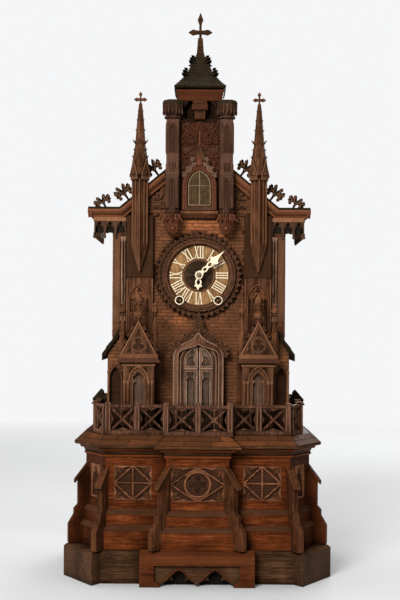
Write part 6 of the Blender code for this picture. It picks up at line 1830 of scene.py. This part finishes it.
def tile_slope(bm, low, high, y0, course=0.014):
    """Courses of tiles from the lower edge (x, z) of a slope to its upper edge."""
    start = Vector((low[0], 0.0, low[1]))
    rise = Vector((high[0] - low[0], 0.0, high[1] - low[1]))
    normal = Y.cross(rise).normalized()
    courses = max(2, round(rise.length / course))
    for k in range(courses):
        ends = (k / courses, min(1.0, (k + TILE_LAP) / courses))
        y = y0 - (k % 2) * 0.5 * TILE_WIDE
        while y < ROOF_BACK:
            left = max(y, y0) + TILE_JOINT
            right = min(y + TILE_WIDE, ROOF_BACK) - TILE_JOINT
            y += TILE_WIDE
            if right - left < 0.002:
                continue
            rows = []
            for lifts in ((-TILE_UNDER, -TILE_UNDER), (RNG.uniform(*TILE_T), TILE_UNDER)):
                foot, head = [start + rise * t + normal * lift for t, lift in zip(ends, lifts)]
                rows.append([foot + Y * left, foot + Y * right, head + Y * right, head + Y * left])
            skin(bm, rows)


bm = bmesh.new()
tile_slope(bm, (RAKE_X, EAVE_Z), BEHIND_TOWER, ROOF_FRONT)
tile_slope(bm, BEHIND_TOWER, (0.0006, 0.7707), 0.048)
tile_slope(bm, (0.1985, EAVE_Z), (RAKE_X, EAVE_Z), ROOF_FRONT)
tile_slope(bm, (0.1706, 0.3896), (0.1556, 0.4121), -0.0555, 0.011)
mirror(bm)
piece("roof_tiles", bm, SLATE)

# Dark stepped caps on the side balustrades, dark like the roofs; on the inner slope the dark is painted
# shade.
SIDE_CAP = [(0.1976, 0.2952), (0.1942, 0.301), (0.1957, 0.3052), (0.1806, 0.3229), (0.1764, 0.3186),
            (0.1747, 0.311), (0.1715, 0.3075), (0.1712, 0.3045), (0.1885, 0.3045), (0.1912, 0.295)]
SIDE_CAP_Y = 0.053
dark_boards("side_caps", SLATE, SIDE_CAP, facing(SIDE_CAP_Y), 0.026, 0.0005)


# Stage, light and camera

FLOOR_R = 4.0
FLOOR_FADE = (1.3, 3.0)
SURROUND = (0.915, 0.92, 0.93, 1.0)
AMBIENT = 0.14
CLOCK_MID = (0.0, 0.0, 0.5)


def stage_floor():
    """Round sheet of pale paper that fades into the pale surround on every side."""
    bm = bmesh.new()
    bmesh.ops.create_circle(bm, cap_ends=True, segments=96, radius=FLOOR_R)
    mesh = bpy.data.meshes.new("studio_floor")
    bm.to_mesh(mesh)
    bm.free()
    made = Finish("studio_paper")
    mottle = made.noise((3.0, 3.0, 3.0), 3.0, 0.5)
    colour = made.ramp(mottle, (0.3, (0.47, 0.475, 0.475)), (0.7, (0.49, 0.495, 0.495)))
    radius = made.node("ShaderNodeVectorMath", {0: made.coordinates}, operation="LENGTH").outputs["Value"]
    made.tree.links.new(made.scale(radius, *FLOOR_FADE, 1.0, 0.0), made.shader.inputs["Alpha"])
    mesh.materials.append(made.done(colour, made.scale(mottle, 0.3, 0.7, 0.8, 0.9), mottle, 0.0001))
    obj = bpy.data.objects.new("studio_floor", mesh)
    bpy.context.scene.collection.objects.link(obj)


def studio_world():
    """Dim white light from all round, in front of a pale surround."""
    made = bpy.data.worlds.new("studio")
    made.use_nodes = True
    tree = made.node_tree
    ambient = tree.nodes["Background"]
    ambient.inputs["Color"].default_value = (1.0, 1.0, 1.0, 1.0)
    ambient.inputs["Strength"].default_value = AMBIENT
    surround = tree.nodes.new("ShaderNodeBackground")
    surround.inputs["Color"].default_value = SURROUND
    seen = tree.nodes.new("ShaderNodeLightPath")
    both = tree.nodes.new("ShaderNodeMixShader")
    tree.links.new(seen.outputs["Is Camera Ray"], both.inputs[0])
    tree.links.new(ambient.outputs[0], both.inputs[1])
    tree.links.new(surround.outputs[0], both.inputs[2])
    tree.links.new(both.outputs[0], tree.nodes["World Output"].inputs["Surface"])
    return made


def lamp(name, spot, aim, size, power):
    light = bpy.data.lights.new(name, "AREA")
    light.shape = "RECTANGLE"
    light.size = size[0]
    light.size_y = size[1]
    light.energy = power
    obj = bpy.data.objects.new(name, light)
    obj.location = spot
    obj.rotation_euler = (Vector(aim) - Vector(spot)).to_track_quat("-Z", "Y").to_euler()
    bpy.context.scene.collection.objects.link(obj)


stage_floor()
lamp("key", (-1.05, -2.4, 1.75), CLOCK_MID, (1.2, 1.2), 130.0)
lamp("fill", (2.3, -1.5, 1.2), CLOCK_MID, (1.2, 1.8), 18.0)
lamp("left", (-2.5, 0.3, 1.3), CLOCK_MID, (1.2, 1.8), 14.0)
lamp("top", (0.0, 0.8, 3.2), (0.0, 0.6, 0.0), (3.6, 2.0), 80.0)
lamp("back", (0.9, 2.6, 1.5), CLOCK_MID, (1.4, 1.4), 45.0)

scene = bpy.context.scene
scene.world = studio_world()
scene.view_settings.view_transform = "Standard"

PHOTO_W = 400.0
PHOTO_H = 600.0
FOCAL_PX = 1055.6
MID_PX = 198.6
RAISED_PX = 25.0
CAMERA_ROLL = -0.37
camera = bpy.data.cameras.new("photo_camera")
camera.sensor_fit = "VERTICAL"
camera.sensor_height = 36.0
camera.lens = FOCAL_PX / PHOTO_H * camera.sensor_height
camera.shift_x = (0.5 * PHOTO_W - MID_PX) / PHOTO_H
camera.shift_y = RAISED_PX / PHOTO_H
camera.clip_end = 20.0
viewer = bpy.data.objects.new("photo_camera", camera)
viewer.location = (0.0, -1.925, 0.4423)
viewer.rotation_euler = (math.radians(90.0), math.radians(CAMERA_ROLL), 0.0)
scene.collection.objects.link(viewer)
scene.camera = viewer


def corners(bounds):
    return [[float(value) for value in corner] for corner in bounds]
